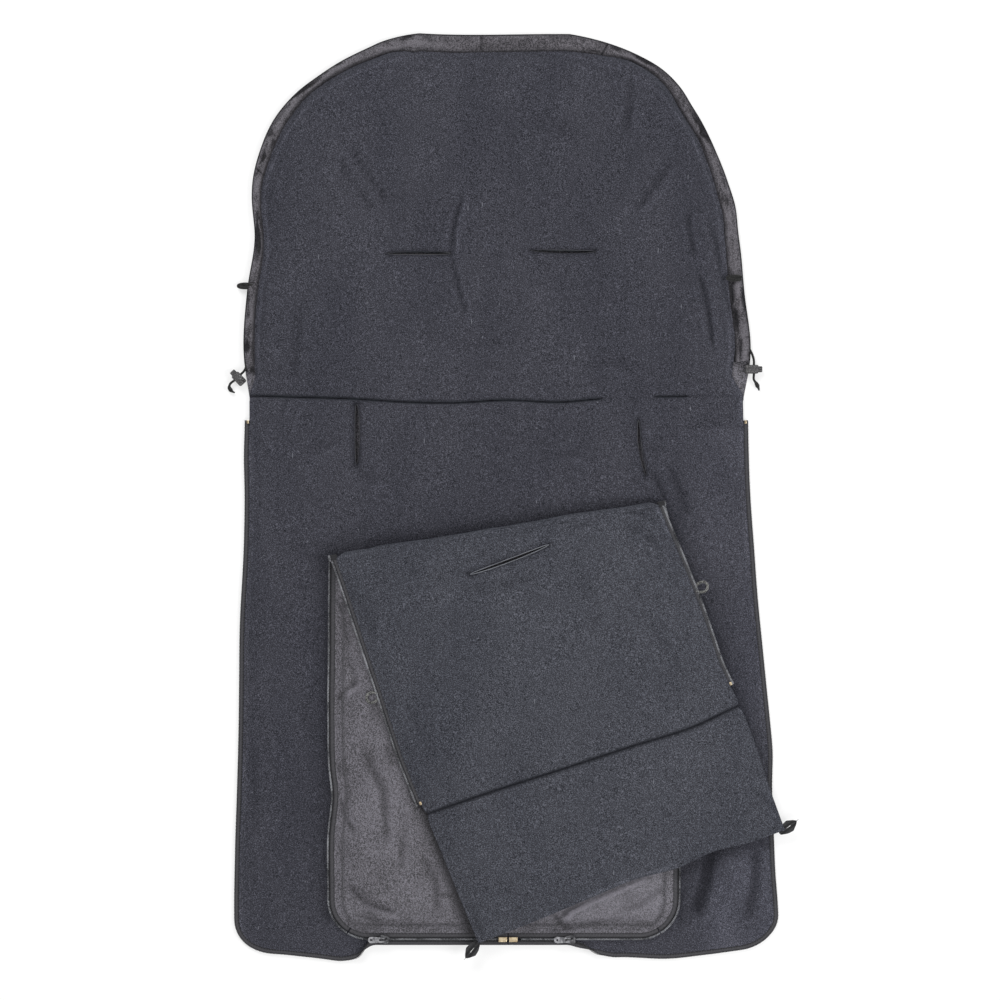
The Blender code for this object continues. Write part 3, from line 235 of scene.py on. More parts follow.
def matHeight(x, y):
    side = np.minimum(x - matSide(y, -1), matSide(y, 1) - x)
    share = ramp((side - .006) / .040) * footShare(y) * ramp((bag["seamY"] - y - .007) / .030)
    return bag["rim"] + bag["matSwell"] * share


def foldLine(x):
    return bag["foldY"] + (x - bag["foldX"]) * math.tan(bag["foldTurn"])


def foldShare(distance):
    # The padding is thinner beside the fold
    return .378 + .622 * ease(distance / .026)


def coverShare(x, y):
    side = np.minimum(x - bag["coverLeft"], bag["coverRight"] - x)
    return ramp((side - .010) / .040) * ramp((y - bag["coverFoot"] - .010) / .040)


def coverBase(x, y):
    lifted = bag["coverSwell"] * coverShare(x, y) * (1 - foldShare(foldLine(x) - y))
    return np.maximum(matHeight(x, y) + bag["coverAbove"], bag["coverFootLow"]) + lifted


def flapSpot(p, q):
    # From the folded half's own directions, away from the fold and along it, to the plan
    c, s = math.cos(bag["flapTurn"]), math.sin(bag["flapTurn"])
    return bag["foldX"] + p * c - q * s, bag["foldY"] + p * s + q * c


def flapLocal(x, y):
    c, s = math.cos(bag["flapTurn"]), math.sin(bag["flapTurn"])
    dx, dy = x - bag["foldX"], y - bag["foldY"]
    return dx * c + dy * s, -dx * s + dy * c


def flapStart(q):
    # The fold lies aslant to the folded half
    return q * math.tan(math.radians(11.7)) + bag["foldClear"]


def flapBase(x, y):
    # The folded half sinks where it hangs past the cover's side and foot
    return bag["flapLow"] - .009 * ease((x - .140) / .140) - .006 * ease((-.386 - y) / .070)


# Mesh helpers
def spotsOf(piece):
    spots = np.empty(len(piece.data.vertices) * 3)
    piece.data.vertices.foreach_get("co", spots)
    return spots.reshape(-1, 3)


def setSpots(piece, spots):
    piece.data.vertices.foreach_set("co", np.asarray(spots, float).ravel())
    piece.data.update()


def newest(name):
    piece = bpy.context.object
    piece.name = name
    piece.data.name = name
    return piece


def onlySelect(piece):
    bpy.ops.object.select_all(action="DESELECT")
    piece.select_set(True)
    bpy.context.view_layer.objects.active = piece


def applied(piece, kind, **settings):
    onlySelect(piece)
    modifier = piece.modifiers.new(kind.lower(), kind)
    for name, value in settings.items():
        setattr(modifier, name, value)
    bpy.ops.object.modifier_apply(modifier=modifier.name)


def smoothed(piece, degrees):
    onlySelect(piece)
    bpy.ops.object.shade_smooth_by_angle(angle=math.radians(degrees))


def flatGrid(name, columns, rows):
    bpy.ops.object.select_all(action="DESELECT")
    bpy.ops.mesh.primitive_grid_add(x_subdivisions=columns, y_subdivisions=rows, size=2)
    return newest(name)


def twoSided(name, columns, rows):
    # A closed grid with an upper and a lower side, its points, and which of them are upper
    piece = flatGrid(name, columns, rows)
    applied(piece, "SOLIDIFY", thickness=0.1, offset=-1)
    spots = spotsOf(piece)
    return piece, spots, spots[:, 2] > -0.05


def softLayer(name, columns, rows, place):
    # A closed layer of cloth or padding, with every point put in its place
    piece, spots, upper = twoSided(name, columns, rows)
    x, y, low, high = place(spots[:, 0], (spots[:, 1] + 1) / 2)
    setSpots(piece, np.stack([x, y, np.where(upper, high, low)], 1))
    smoothed(piece, 50)
    return piece


def slitPoint(slit, along, across):
    # A point beside a slit: along runs from -1 to 1, across is in metres
    (cx, cy), length, turn, bow = slit
    s = along * length / 2
    w = across + bow * (1 - along**2)
    return cx + s * math.cos(turn) - w * math.sin(turn), cy + s * math.sin(turn) + w * math.cos(turn)


def cutSlit(piece, slit, width, low, high, aside=0.0):
    # A narrow slit, widest in the middle, cut right through
    blade, spots, upper = twoSided("blade", 24, 1)
    half = width / 2 * np.sqrt(1.02 - spots[:, 0] ** 4)
    x, y = slitPoint(slit, spots[:, 0], spots[:, 1] * half + aside)
    setSpots(blade, np.stack([x, y, np.where(upper, high, low)], 1))
    applied(piece, "BOOLEAN", object=blade, operation="DIFFERENCE", solver="EXACT")
    bpy.data.objects.remove(blade)


def slitDistance(slit, x, y):
    # Distance to a slit's middle line
    (cx, cy), length, turn, bow = slit
    dx, dy = x - cx, y - cy
    along = dx * math.cos(turn) + dy * math.sin(turn)
    across = -dx * math.sin(turn) + dy * math.cos(turn) - bow * (1 - np.clip(along / length * 2, -1, 1) ** 2)
    return np.hypot(np.maximum(np.abs(along) - length / 2, 0), across)


def keepValue(piece, name, values):
    layer = piece.data.attributes.get(name) or piece.data.attributes.new(name, "FLOAT", "POINT")
    layer.data.foreach_set("value", np.full(len(piece.data.vertices), values, np.float32))


def litSide(x, y, marks, depth):
    # The far side of each groove faces the light at the upper left
    return np.clip((creases(x, y, marks) - creases(x - .0026, y + .0026, marks)) / depth, 0, 1)


def roundCurve(name, radius, sides):
    curve = bpy.data.curves.new(name, "CURVE")
    curve.dimensions = "3D"
    curve.bevel_depth, curve.bevel_resolution = radius, sides
    curve.use_fill_caps = True
    piece = bpy.data.objects.new(name, curve)
    bpy.context.scene.collection.objects.link(piece)
    return piece


def addLine(piece, points):
    spline = piece.data.splines.new("POLY")
    spline.points.add(len(points) - 1)
    flat = np.ones((len(points), 4))
    flat[:, :3] = points
    spline.points.foreach_set("co", flat.ravel())
    return spline


def rod(name, points, radius, sides=2, radii=None, cyclic=False):
    # A round cord or thread along its points
    piece = roundCurve(name, radius, sides)
    spline = addLine(piece, points)
    if radii is not None:
        spline.points.foreach_set("radius", np.asarray(radii, float))
    spline.use_cyclic_u = cyclic
    return piece


def smoothLine(points, count):
    # A smooth line through a few points
    points = np.array(points, float)
    steps = stepsOf(points)
    table = np.column_stack([steps, points])
    s = np.linspace(0, steps[-1], count)
    return np.column_stack([alongTable(table, s, k + 1) for k in range(3)])


def asMesh(piece):
    onlySelect(piece)
    bpy.ops.object.convert(target="MESH")
    return piece


# Materials: a wire carries a value or a colour between nodes
class Wire:
    def __init__(self, finish, socket):
        self.finish, self.socket = finish, socket

    def maths(self, operation, first, second=None):
        sockets = {0: first} if second is None else {0: first, 1: second}
        return self.finish.wire("Math", {"operation": operation}, sockets)

    def __add__(self, other):
        return self.maths("ADD", self, other)

    def __sub__(self, other):
        return self.maths("SUBTRACT", self, other)

    def __rsub__(self, other):
        return self.maths("SUBTRACT", other, self)

    def __mul__(self, other):
        return self.maths("MULTIPLY", self, other)

    def __lt__(self, other):
        return self.maths("LESS_THAN", self, other)

    def __gt__(self, other):
        return self.maths("GREATER_THAN", self, other)

    __radd__, __rmul__ = __add__, __mul__

    def between(self, low, high):
        return self.finish.wire("MapRange", {"interpolation_type": "SMOOTHSTEP"}, {0: self, 1: low, 2: high})


class Finish:
    def __init__(self, name, **constants):
        self.material = bpy.data.materials.new(name)
        self.material.use_nodes = True
        self.tree = self.material.node_tree
        self.shader = self.tree.nodes["Principled BSDF"]
        for socket, value in constants.items():
            self.feed(self.shader.inputs[socket.replace("_", " ")], value)

    def feed(self, socket, value):
        if isinstance(value, Wire):
            self.tree.links.new(value.socket, socket)
        elif isinstance(value, tuple) and len(value) == 3 and socket.type == "RGBA":
            socket.default_value = (*value, 1)
        else:
            socket.default_value = value

    def wire(self, kind, settings, sockets, output=0):
        node = self.tree.nodes.new("ShaderNode" + kind)
        for name, value in settings.items():
            setattr(node, name, value)
        for name, value in sockets.items():
            self.feed(node.inputs[name], value)
        return Wire(self, node.outputs[output])

    def place(self):
        return self.wire("TexCoord", {}, {}, "Object")

    def moved(self, scale=(1, 1, 1), turn=0.0):
        sockets = {"Vector": self.place(), "Scale": scale, "Rotation": (0, 0, turn)}
        return self.wire("Mapping", {}, sockets)

    def noise(self, scale, detail=3.0, where=None, output="Fac", roughness=0.55):
        sockets = {"Vector": where or self.place(), "Scale": scale, "Detail": detail, "Roughness": roughness}
        return self.wire("TexNoise", {}, sockets, output)

    def mix(self, factor, first, second, blend="MIX"):
        return self.wire("Mix", {"data_type": "RGBA", "blend_type": blend}, {0: factor, 6: first, 7: second}, 2)

    def toned(self, colour, *tint):
        return self.mix(1.0, colour, tint, "MULTIPLY")

    def cells(self, scale, where=None):
        return self.wire("TexVoronoi", {}, {"Vector": where or self.place(), "Scale": scale}, "Distance")

    def kept(self, name):
        return self.wire("Attribute", {"attribute_name": name}, {}, "Fac")

    def relief(self, height, distance, strength=1.0, under=None):
        sockets = {"Height": height, "Distance": distance, "Strength": strength}
        if under:
            sockets["Normal"] = under
        return self.wire("Bump", {}, sockets)

    def paint(self, **sockets):
        for socket, value in sockets.items():
            self.feed(self.shader.inputs[socket.replace("_", " ")], value)
        return self.material


def fleeceFinish(name, dark, light, turn=0.0):
    # Short brushed pile: a fine grain, broad clouds where the nap lies another way that also stand in for painted
    # broad shading, and a little pale lint
    look = Finish(name, Sheen_Weight=0.20, Sheen_Roughness=0.45, Sheen_Tint=(0.62, 0.70, 0.82),
                  Specular_IOR_Level=0.10)
    pile = look.noise(1450, 1, roughness=0.9)
    clump = look.noise(330, 1, look.moved((1, 0.6, 1), turn))
    brushed = look.noise(15, 4, look.moved((1, 0.4, 1), turn))
    tone = (pile * 0.9 + clump * 0.1).between(0.40, 0.60)
    colour = look.mix(tone, dark, light)
    tips = look.noise(900, 0, look.moved((1, 1, 1), 0.8)) > 0.66
    colour = look.mix(tips * 0.55, colour, tuple(c * 1.9 for c in light))
    # Painted highlight: much lighter where the mesh carries painted light, on rims and on the lit sides of creases
    colour = look.mix(look.kept("lit") * 0.6, colour, look.toned(colour, 2.4, 2.4, 2.4))
    # Broad lighter and darker clouds: the nap's own zones, made stronger as painted broad shading
    napAndPaintedShading = (brushed.between(0.3, 0.7) - 0.5) * 0.42 + 0.5
    colour = look.mix(napAndPaintedShading, look.toned(colour, 0.74, 0.75, 0.78), look.toned(colour, 1.26, 1.25, 1.22))
    # Painted shade: near-black where the mesh carries painted shade, in creases, seams, slits and painted shadows
    colour = look.mix(look.kept("paintedShade") * 0.88, colour, (0.004, 0.004, 0.006))
    lint = (look.cells(85.0) < 0.05) * (look.noise(41, 0) > 0.5)
    fibres = look.cells(120.0, look.moved((1, 0.16, 1), turn + 0.9))
    lint = lint + (fibres < 0.055) * (look.noise(33, 0) > 0.56)
    colour = look.mix(lint * 0.40, colour, (0.27, 0.28, 0.32))
    broad = look.relief(look.noise(9, 2, roughness=0.4), 0.020, 0.5)
    bump = look.relief(pile * 0.7 + clump * 0.3, 0.0009, 0.6, broad)
    return look.paint(Base_Color=colour, Roughness=0.86 + pile * 0.12, Normal=bump)


def shellFinish(name, colour, turn=0.0, contrast=1.0, shine=0.42):
    # A plain weave seen as a fine grain, on cloth that is a little uneven and softly shiny
    look = Finish(name, Sheen_Weight=0.08, Sheen_Roughness=0.35, Specular_IOR_Level=shine)
    where = look.moved((1, 1, 1), turn)
    grain = look.noise(1050, 1, where, roughness=0.9)
    warp = look.noise(620, 0, look.moved((1, 0.55, 1), turn))
    cloud = look.noise(26, 3, where)
    tone = (grain * 0.70 + warp * 0.16 + cloud * 0.14).between(0.41, 0.59)
    apart = .62 * contrast
    made = look.mix(tone, tuple(c * (1 - apart) for c in colour), tuple(c * (1 + apart) for c in colour))
    # Painted shade: near-black where the mesh carries painted shade
    made = look.mix(look.kept("paintedShade") * 0.9, made, (0.004, 0.004, 0.005))
    # Painted highlight: much lighter where the mesh carries painted light
    made = look.mix(look.kept("lit") * 0.55, made, tuple(c * 2.6 for c in colour))
    broad = look.relief(look.noise(30, 2, where, roughness=0.5), 0.006, 0.5)
    bump = look.relief(grain * 0.5 + warp * 0.5, 0.0005, 0.5, broad)
    return look.paint(Base_Color=made, Roughness=0.44 + warp * 0.26 + look.kept("paintedShade") * 0.3, Normal=bump)


def tapeFinish(name, dark, light):
    look = Finish(name, Sheen_Weight=0.12, Specular_IOR_Level=0.2)
    sockets = {"Vector": look.moved((1, 1, 1), 0.6), "Scale": 420.0, "Distortion": 1.0}
    twill = look.wire("TexWave", {"bands_direction": "DIAGONAL"}, sockets, "Fac")
    grain = look.noise(700, 2)
    colour = look.mix((twill * 0.4 + grain * 0.6).between(0.3, 0.7), dark, light)
    # Painted shade: near-black along the shaded lines the mesh carries
    colour = look.mix(look.kept("paintedShade") * 0.95, colour, (0.003, 0.003, 0.004))
    return look.paint(Base_Color=colour, Roughness=0.7 + grain * 0.2, Normal=look.relief(twill + grain, 0.0002, 0.6))


def nylonFinish(name, dark, light, bite=0.5):
    look = Finish(name, Specular_IOR_Level=0.5)
    grain = look.noise(900, 2)
    smear = look.noise(60, 3)
    colour = look.mix((grain * 0.5 + smear * 0.5).between(0.5 - bite, 0.5 + bite), dark, light)
    return look.paint(Base_Color=colour, Roughness=0.34 + smear * 0.25, Normal=look.relief(grain, 0.0001, 0.3))


def metalFinish(name, clean, worn, rough, metallic=1.0):
    look = Finish(name)
    scratch = look.noise(900, 3, look.moved((1, 0.12, 1), 0.4))
    cloud = look.noise(220, 3)
    wear = (cloud * 0.6 + scratch * 0.4).between(0.42, 0.62)
    colour = look.mix(wear, clean, worn)
    return look.paint(Base_Color=colour, Metallic=metallic - wear * 0.15, Roughness=rough + scratch * 0.25,
                      Normal=look.relief(scratch, 0.00008, 0.35))


def cordFinish(name, dark, light):
    look = Finish(name, Sheen_Weight=0.15, Specular_IOR_Level=0.25)
    one = look.cells(1100.0, look.moved((1, 1, 1), 0.4))
    colour = look.mix(one.between(0.1, 0.7), light, dark)
    return look.paint(Base_Color=colour, Roughness=0.7 + one * 0.2, Normal=look.relief(1 - one, 0.0003, 0.8))


def lockFinish(name):
    look = Finish(name, Specular_IOR_Level=0.45)
    flecks = look.noise(1500, 2).between(0.56, 0.66)
    scuff = look.noise(180, 4)
    colour = look.mix(scuff.between(0.35, 0.65), (0.006, 0.006, 0.007), (0.046, 0.045, 0.047))
    colour = look.mix(flecks * 0.8, colour, (0.30, 0.29, 0.30))
    bump = look.relief(scuff + flecks * 0.3, 0.00015, 0.5)
    return look.paint(Base_Color=colour, Roughness=0.42 + scuff * 0.3, Normal=bump)


finishes = {
    "fleece": fleeceFinish("fleece", (0.0090, 0.0092, 0.0120), (0.0635, 0.0640, 0.0800)),
    # The folded half's fleece: the linings' fleece turned, with lighter colours that paint the light falling on the
    # raised half
    "flapFleecePaintedLighter": fleeceFinish("flapFleecePaintedLighter", (0.0080, 0.0084, 0.0108), (0.0775, 0.0805, 0.0975), math.radians(21)),
    "shell": shellFinish("shell", (0.088, 0.084, 0.098), 0, 1.25),
    "flapShell": shellFinish("flapShell", (0.088, 0.084, 0.098), math.radians(21), 1.25),
    "border": shellFinish("border", (0.077, 0.073, 0.082), math.radians(40), 1.1, 0.12),
    "tape": tapeFinish("tape", (0.030, 0.030, 0.034), (0.085, 0.083, 0.091)),
    "loopTape": tapeFinish("loopTape", (0.010, 0.010, 0.011), (0.055, 0.055, 0.058)),
    "coil": nylonFinish("coil", (0.012, 0.012, 0.013), (0.045, 0.045, 0.048)),
    # A pale copy of the coil: painted glints along the cover's and the folded half's zips
    "coilPaintedGlints": nylonFinish("coilPaintedGlints", (0.020, 0.021, 0.024), (0.40, 0.41, 0.44), 0.12),
    "thread": nylonFinish("thread", (0.030, 0.030, 0.034), (0.085, 0.085, 0.095)),
    "binding": nylonFinish("binding", (0.010, 0.010, 0.013), (0.034, 0.035, 0.043)),
    # A pale copy of the binding: painted highlight on the lip of the folded half's slit
    "bindingPaintedHighlight": nylonFinish("bindingPaintedHighlight", (0.060, 0.064, 0.075), (0.20, 0.21, 0.24)),
    "darkThread": nylonFinish("darkThread", (0.010, 0.010, 0.012), (0.030, 0.031, 0.036)),
    "gilt": metalFinish("gilt", (0.62, 0.52, 0.36), (0.34, 0.25, 0.15), 0.22),
    "sliderMetal": metalFinish("sliderMetal", (0.05, 0.05, 0.055), (0.16, 0.16, 0.17), 0.28, 0.9),
    "pullMetal": metalFinish("pullMetal", (0.36, 0.36, 0.38), (0.12, 0.12, 0.13), 0.24),
    "cord": cordFinish("cord", (0.006, 0.006, 0.006), (0.030, 0.030, 0.030)),
    "ring": cordFinish("ring", (0.030, 0.030, 0.030), (0.30, 0.30, 0.29)),
    "lock": lockFinish("lock"),
    "spring": metalFinish("spring", (0.55, 0.55, 0.56), (0.34, 0.34, 0.35), 0.2),
}


def dress(piece, finish):
    piece.data.materials.clear()
    piece.data.materials.append(finishes[finish])
    return piece


print("materials made")


# Back of the bag: one lining from the foot to the hood, creased at the seat seam
back = {
    "columns": 180, "cornerRows": 12, "rowStep": 0.0036, "seamStep": 0.0011, "seamBand": 0.009,
    "hoodRows": 34, "hoodSpan": 0.140,
    "low": 0.0010, "sideRing": 0.0015, "sideCrown": 0.017, "topCrown": 0.020,
    "hills": ((0.115, 0.0018, 3), (0.052, 0.0011, 5), (0.024, 0.0005, 8), (0.012, 0.00018, 9)),
    "creases": (
        (((465, 192), (458, 212), (454, 230), (452, 250), (453, 262)), 2.6, 2.6),
        (((452, 252), (455, 270), (460, 292), (468, 320)), 2.8, 2.2),
        (((347, 140), (362, 166), (376, 186), (391, 208)), 3.2, 2.0),
        (((338, 158), (356, 186), (376, 214)), 4.5, 1.3),
        (((633, 82), (630, 108), (625, 138)), 5, 1.5),
        (((634, 214), (650, 192), (674, 160)), 5, 1.5),
        (((688, 208), (691, 236), (696, 262)), 3.4, 1.9),
        (((694, 268), (703, 284), (709, 312), (714, 352)), 3.2, 2.6),
        (((706, 214), (718, 246), (724, 280), (731, 327)), 3.4, 1.8),
        (((288, 396), (285, 404), (282, 417)), 2.6, 1.2),
        (((300, 300), (296, 340), (294, 388)), 7, 1.0),
        (((633, 398), (635, 404), (637, 412)), 2.6, 1.2),
        (((638, 463), (645, 474), (650, 480)), 3, 1.1),
        (((650, 468), (660, 486), (672, 512)), 4, 2.4),
        (((668, 462), (680, 492), (690, 520)), 6, 1.6),
        (((537, 462), (560, 457), (588, 450)), 4, 0.6),
        (((352, 466), (362, 474), (380, 482)), 6, 0.9),
        (((300, 452), (322, 446), (345, 440)), 7, 0.6),
        (((713, 836), (706, 886), (692, 922)), 9, 3.6),
        (((736, 850), (729, 885), (717, 914)), 6, 2.2),
        (((756, 840), (755, 885), (746, 926)), 8, 2.2),
        (((252, 740), (256, 790), (252, 850)), 6, 0.7),
        (((310, 840), (318, 880), (322, 905)), 5, 0.8),
        (((296, 690), (312, 730), (316, 780)), 8, 0.7),
        (((575, 372), (610, 362), (648, 368)), 8, 0.6),
        (((520, 120), (560, 128), (592, 150)), 9, 0.6),
        (((420, 330), (470, 345), (520, 338)), 9, 0.6),
    ),
    "gathers": ((688, 932, 24, 26), (745, 905, 16, 40), (262, 935, 20, 24), (350, 944, 26, 10), (610, 944, 26, 10)),
}
# How far the seat crease wanders, from left to right
seamLine = (
    (-.27, -.0045), (-.211, -.003), (-.15, -.001), (-.10, .0020), (-.054, .0027), (0, 0), (.054, .002),
    (.096, -.0014), (.19, -.004),
)

# Width of the hood's border that shows, in millimetres, by the direction from the hood's middle in degrees
borderShown = (
    (-30, 15), (9, 15.5), (24, 14), (31, 12), (38, 11), (46, 12), (52, 9.5), (60, 8.5), (66, 14), (74, 17.5),
    (92, 17.5), (108, 18), (112, 13), (116, 12), (120, 10.5), (127, 9), (132, 9), (138, 12), (145, 14), (153, 11.5),
    (174, 11), (210, 10),
)
# How far the hood's edge lies outside its plan, in millimetres, by the same direction
hoodWander = (
    (-30, 0), (4, 0), (10, .8), (15, .8), (20, 1.8), (27, -2), (34, -5.2), (41, -5), (44, -4), (48.5, 0), (54, 3),
    (59, 3.2), (76, 3.3), (102, 3), (110, 4.8), (114, 4.4), (117, 3), (123, 2), (129, 1.8), (133.4, 3.2), (137, 4),
    (141, 4.5), (148, 3.6), (154, 4), (160, 3), (167, 1), (175, 0), (210, 0),
)


def hoodRim(count):
    # Outer and inner points along the hood's edge, evenly spaced, from the left end to the right end
    found = []
    for side, end in ((-1, bag["borderEndLeft"]), (1, bag["borderEndRight"])):
        shoulder = bag["hoodY"] - bag["hoodRound"]
        curve = shoulder + bag["hoodRound"] * np.sin(np.linspace(0, math.pi / 2, 90))
        rise = np.concatenate([np.linspace(bag["seamY"] + end, shoulder, 60)[:-1], curve])
        share = (bag["hoodY"] - rise) / (bag["hoodY"] - bag["seamY"])
        innerY = bag["hoodY"] - bag["borderTop"] - (bag["hoodY"] - bag["seamY"] - bag["borderTop"]) * share
        line = np.column_stack([headSide(rise, side, False), rise, headSide(innerY, side, True), innerY])
        found.append(line if side < 0 else line[::-1])
    line = np.vstack(found)
    steps = stepsOf(line[:, :2])
    s = np.linspace(0, steps[-1], count)
    return s, np.column_stack([np.interp(s, steps, line[:, k]) for k in range(4)])


def hoodWay(x, y):
    # Direction from the hood's middle, in degrees, 180 on the left and 0 on the right
    return np.degrees(np.arctan2(y - bag["hoodMiddle"], x - bag["headX"]))


def unbroken(way):
    # The tables run from -30 to 210 degrees
    return np.where(way < -90, way + 360, way)


def shownWidth(way):
    return np.interp(unbroken(way), *np.array(borderShown, float).T) / 1000


def rimShift(way):
    return alongTable(hoodWander, unbroken(way), 1) / 1000


rimSteps, rimLine = hoodRim(400)
rimWay = hoodWay(rimLine[:, 0], rimLine[:, 1])
rimWidth = np.hypot(rimLine[:, 0] - rimLine[:, 2], rimLine[:, 1] - rimLine[:, 3])


def pastSeam(y):
    return ease((y - bag["seamY"] - .03) / .05)


def rimPush(x, y, inner):
    # How far the edge is moved, and which way: the lining also swells over the border
    way = hoodWay(x, y)
    order = np.argsort(rimWay)
    push = rimShift(way)
    if inner:
        push = push + np.interp(way, rimWay[order], rimWidth[order]) - shownWidth(way)
    left, right = backEdges(y, inner)
    rim = np.minimum(np.minimum(x - left, right - x), bag["hoodY"] - (bag["borderTop"] if inner else 0) - y)
    push = push * bell(rim, .030) * pastSeam(y)
    return push * np.cos(np.radians(way)), push * np.sin(np.radians(way))


def rowHeights(top):
    # Rows closer together at the foot corners, at the seam and round the hood
    corner = bag["footCorner"] * (1 - np.cos(np.linspace(0, math.pi / 2, back["cornerRows"] + 1)))
    hood = back["hoodSpan"] * np.sin(np.linspace(0, math.pi / 2, back["hoodRows"] + 1))
    low, high = bag["footY"] + corner[-1], top - back["hoodSpan"]
    below, above = bag["seamY"] - back["seamBand"], bag["seamY"] + back["seamBand"]
    runs = [corner[:-1] + bag["footY"]]
    coarse, fine = back["rowStep"], back["seamStep"]
    for start, end, step in ((low, below, coarse), (below, above, fine), (above, high, coarse)):
        runs.append(np.linspace(start, end, round((end - start) / step) + 1)[:-1])
    return np.concatenate(runs + [high + hood])


def seamDepth(x):
    # The seat crease is deep over most of its length and shallow near its right end
    deep = 1 - ease((x - .090) / .012) * 0.85
    short = ease((x - .146) / .006) * ease((.186 - x) / .006) * 0.7
    return np.clip(deep + short, 0, 1)


def fromSeam(x, y):
    return y - bag["seamY"] + alongTable(seamLine, x, 1)


def backPlace(heights, low, topOf, inner=True):
    def place(u, t):
        row = np.round(t * (len(heights) - 1)).astype(int)
        y = heights[row]
        left, right = backEdges(y, inner)
        x = left + (right - left) * (toEdges(u) + 1) / 2
        y = y + footLift(x, y)
        high = topOf(x, y)
        bottom = np.full(len(x), low)
        if inner:
            rim = np.minimum(np.minimum(x - left, right - x), bag["hoodY"] - bag["borderTop"] - y)
            bottom = bottom + .0011 * pastSeam(y) * bell(rim, .022)
        pushX, pushY = rimPush(x, y, inner)
        return x + pushX, y + pushY, bottom, high
    return place


def backTop(x, y):
    left, right = backEdges(y)
    side = np.minimum(x - left, right - x)
    top = bag["hoodY"] - bag["borderTop"] - y
    seam = fromSeam(x, y)
    crown = ramp((side - back["sideRing"]) / back["sideCrown"]) * ramp((top - back["sideRing"]) / back["topCrown"])
    crown *= footShare(y)
    groove = np.exp(-(np.abs(seam) / .0020) ** 1.5) * seamDepth(x) * 0.93
    groove = np.maximum(groove, (0.16 + .14 * seamDepth(x)) * bell(seam, .013))
    z = bag["rim"] + bag["matSwell"] * crown * (1 - groove)
    lip = .0011 * seamDepth(x) * bell(seam - .0062, .0034)
    bare = 1 - ease((x + .185) / .016) * ease((.185 - x) / .016) * ease((foldLine(x) + .012 - y) / .016)
    relief = clothRelief(x, y, back) + lip
    relief = relief + .0008 * drift(x * .35, y, .012, 21) * bell(side - .010, .008)
    for px, py, wide, tall in back["gathers"]:
        cx, cy = photoPoint(px, py)
        near = np.exp(-((x - cx) / wide * 1000) ** 2 - ((y - cy) / tall * 1000) ** 2)
        relief = relief + .0015 * near * drift(x, y * .15, .0075, px)
    for slit in slits.values():
        d = slitDistance(slit, x, y)
        relief = relief + .0010 * bell(d - .005, .0035) - .0006 * bell(d, .012)
    relief = levelOff(relief, .0015) - .0016 * ease((bag["seamY"] - .02 - y) / .03)
    return z + relief * bare * np.clip(crown * 1.2, 0, 1)


slits = {
    "shoulderLeft": ((-0.087, 0.2435), 0.063, 0.0, 0.0006),
    "shoulderRight": ((0.0575, 0.2460), 0.065, math.radians(-1), -0.0008),
    "waistLeft": ((-0.1495, 0.0630), 0.060, math.radians(90), -0.0008),
    "waistRight": ((0.1365, 0.0490), 0.056, math.radians(98), 0.0022),
    "crotch": ((0.0, -0.095), 0.058, 0.0, 0.0),
}
slitOpen = {"shoulderLeft": .0027, "shoulderRight": .0027, "waistLeft": .0044, "waistRight": .0030, "crotch": .0027}


def makeBackLining():
    heights = rowHeights(bag["hoodY"] - bag["borderTop"])
    piece = softLayer("backLining", back["columns"], len(heights) - 1, backPlace(heights, back["low"], backTop))
    for name, slit in slits.items():
        cutSlit(piece, slit, slitOpen[name], -.01, .03)
    x, y, z = spotsOf(piece).T
    # Painted shade: dark in the seat seam's groove and round the slits
    paintedShade = bell(fromSeam(x, y), .0013) * seamDepth(x)
    for name, slit in slits.items():
        paintedShade = np.maximum(paintedShade, .95 * bell(slitDistance(slit, x, y), slitOpen[name] - .0005))
    # Painted shade in the creases
    deep = np.clip(-creases(x, y, back["creases"]) / .0028, 0, 1) * .74
    # Painted shadows on the lining beside the folded half and beside the cover
    p, q = flapLocal(x, y)
    past = np.maximum(np.abs(q) - bag["flapHalf"], np.maximum(flapStart(q) - p, p - bag["flapEnd"]))
    paintedShadow = np.where(q > 0, .44, .42) * bell(np.maximum(past, 0), .019) * (y < 0)
    beside = np.maximum(bag["coverLeft"] - .006 - x, x - bag["coverRight"] - .005)
    along = ease((-.05 - y) / .05) * ease((y - bag["coverFoot"]) / .02)
    paintedShadow = np.maximum(paintedShadow, .40 * bell(beside, .015) * (beside > 0) * along)
    keepValue(piece, "paintedShade", np.maximum(np.maximum(paintedShade, deep), paintedShadow))
    # Painted highlight: a light rim just inside the lining's edges
    left, right = backEdges(y)
    push = rimPush(x, y, True)[0]
    rim = np.minimum(x - push - left, right - x + push)
    seen = np.where(y > bag["seamY"] + .02, .0048, .0028)
    lit = .85 * bell(rim - seen, .0014) * (z > .003) * (.7 + .3 * drift(x * .3, y, .02, 81))
    # Painted pools of light towards the lower right, and painted highlight on the lit sides of creases
    pale = .30 * ease((x - .195) / .03) * ease((-.34 - y) / .03)
    pale = pale + .20 * ease((x - .165) / .05) * (y < bag["seamY"] - .03)
    lit = np.maximum(lit, np.clip(pale * (1 + .8 * drift(x, y * .4, .022, 82)), 0, 1) * (z > .003))
    keepValue(piece, "lit", np.maximum(lit, .60 * litSide(x, y, back["creases"], .0030) * (z > .003)))
    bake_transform(piece)
    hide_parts("mat_fleece", "mat_wadding", "head_fleece", "head_wadding")
    return dress(piece, "fleece")


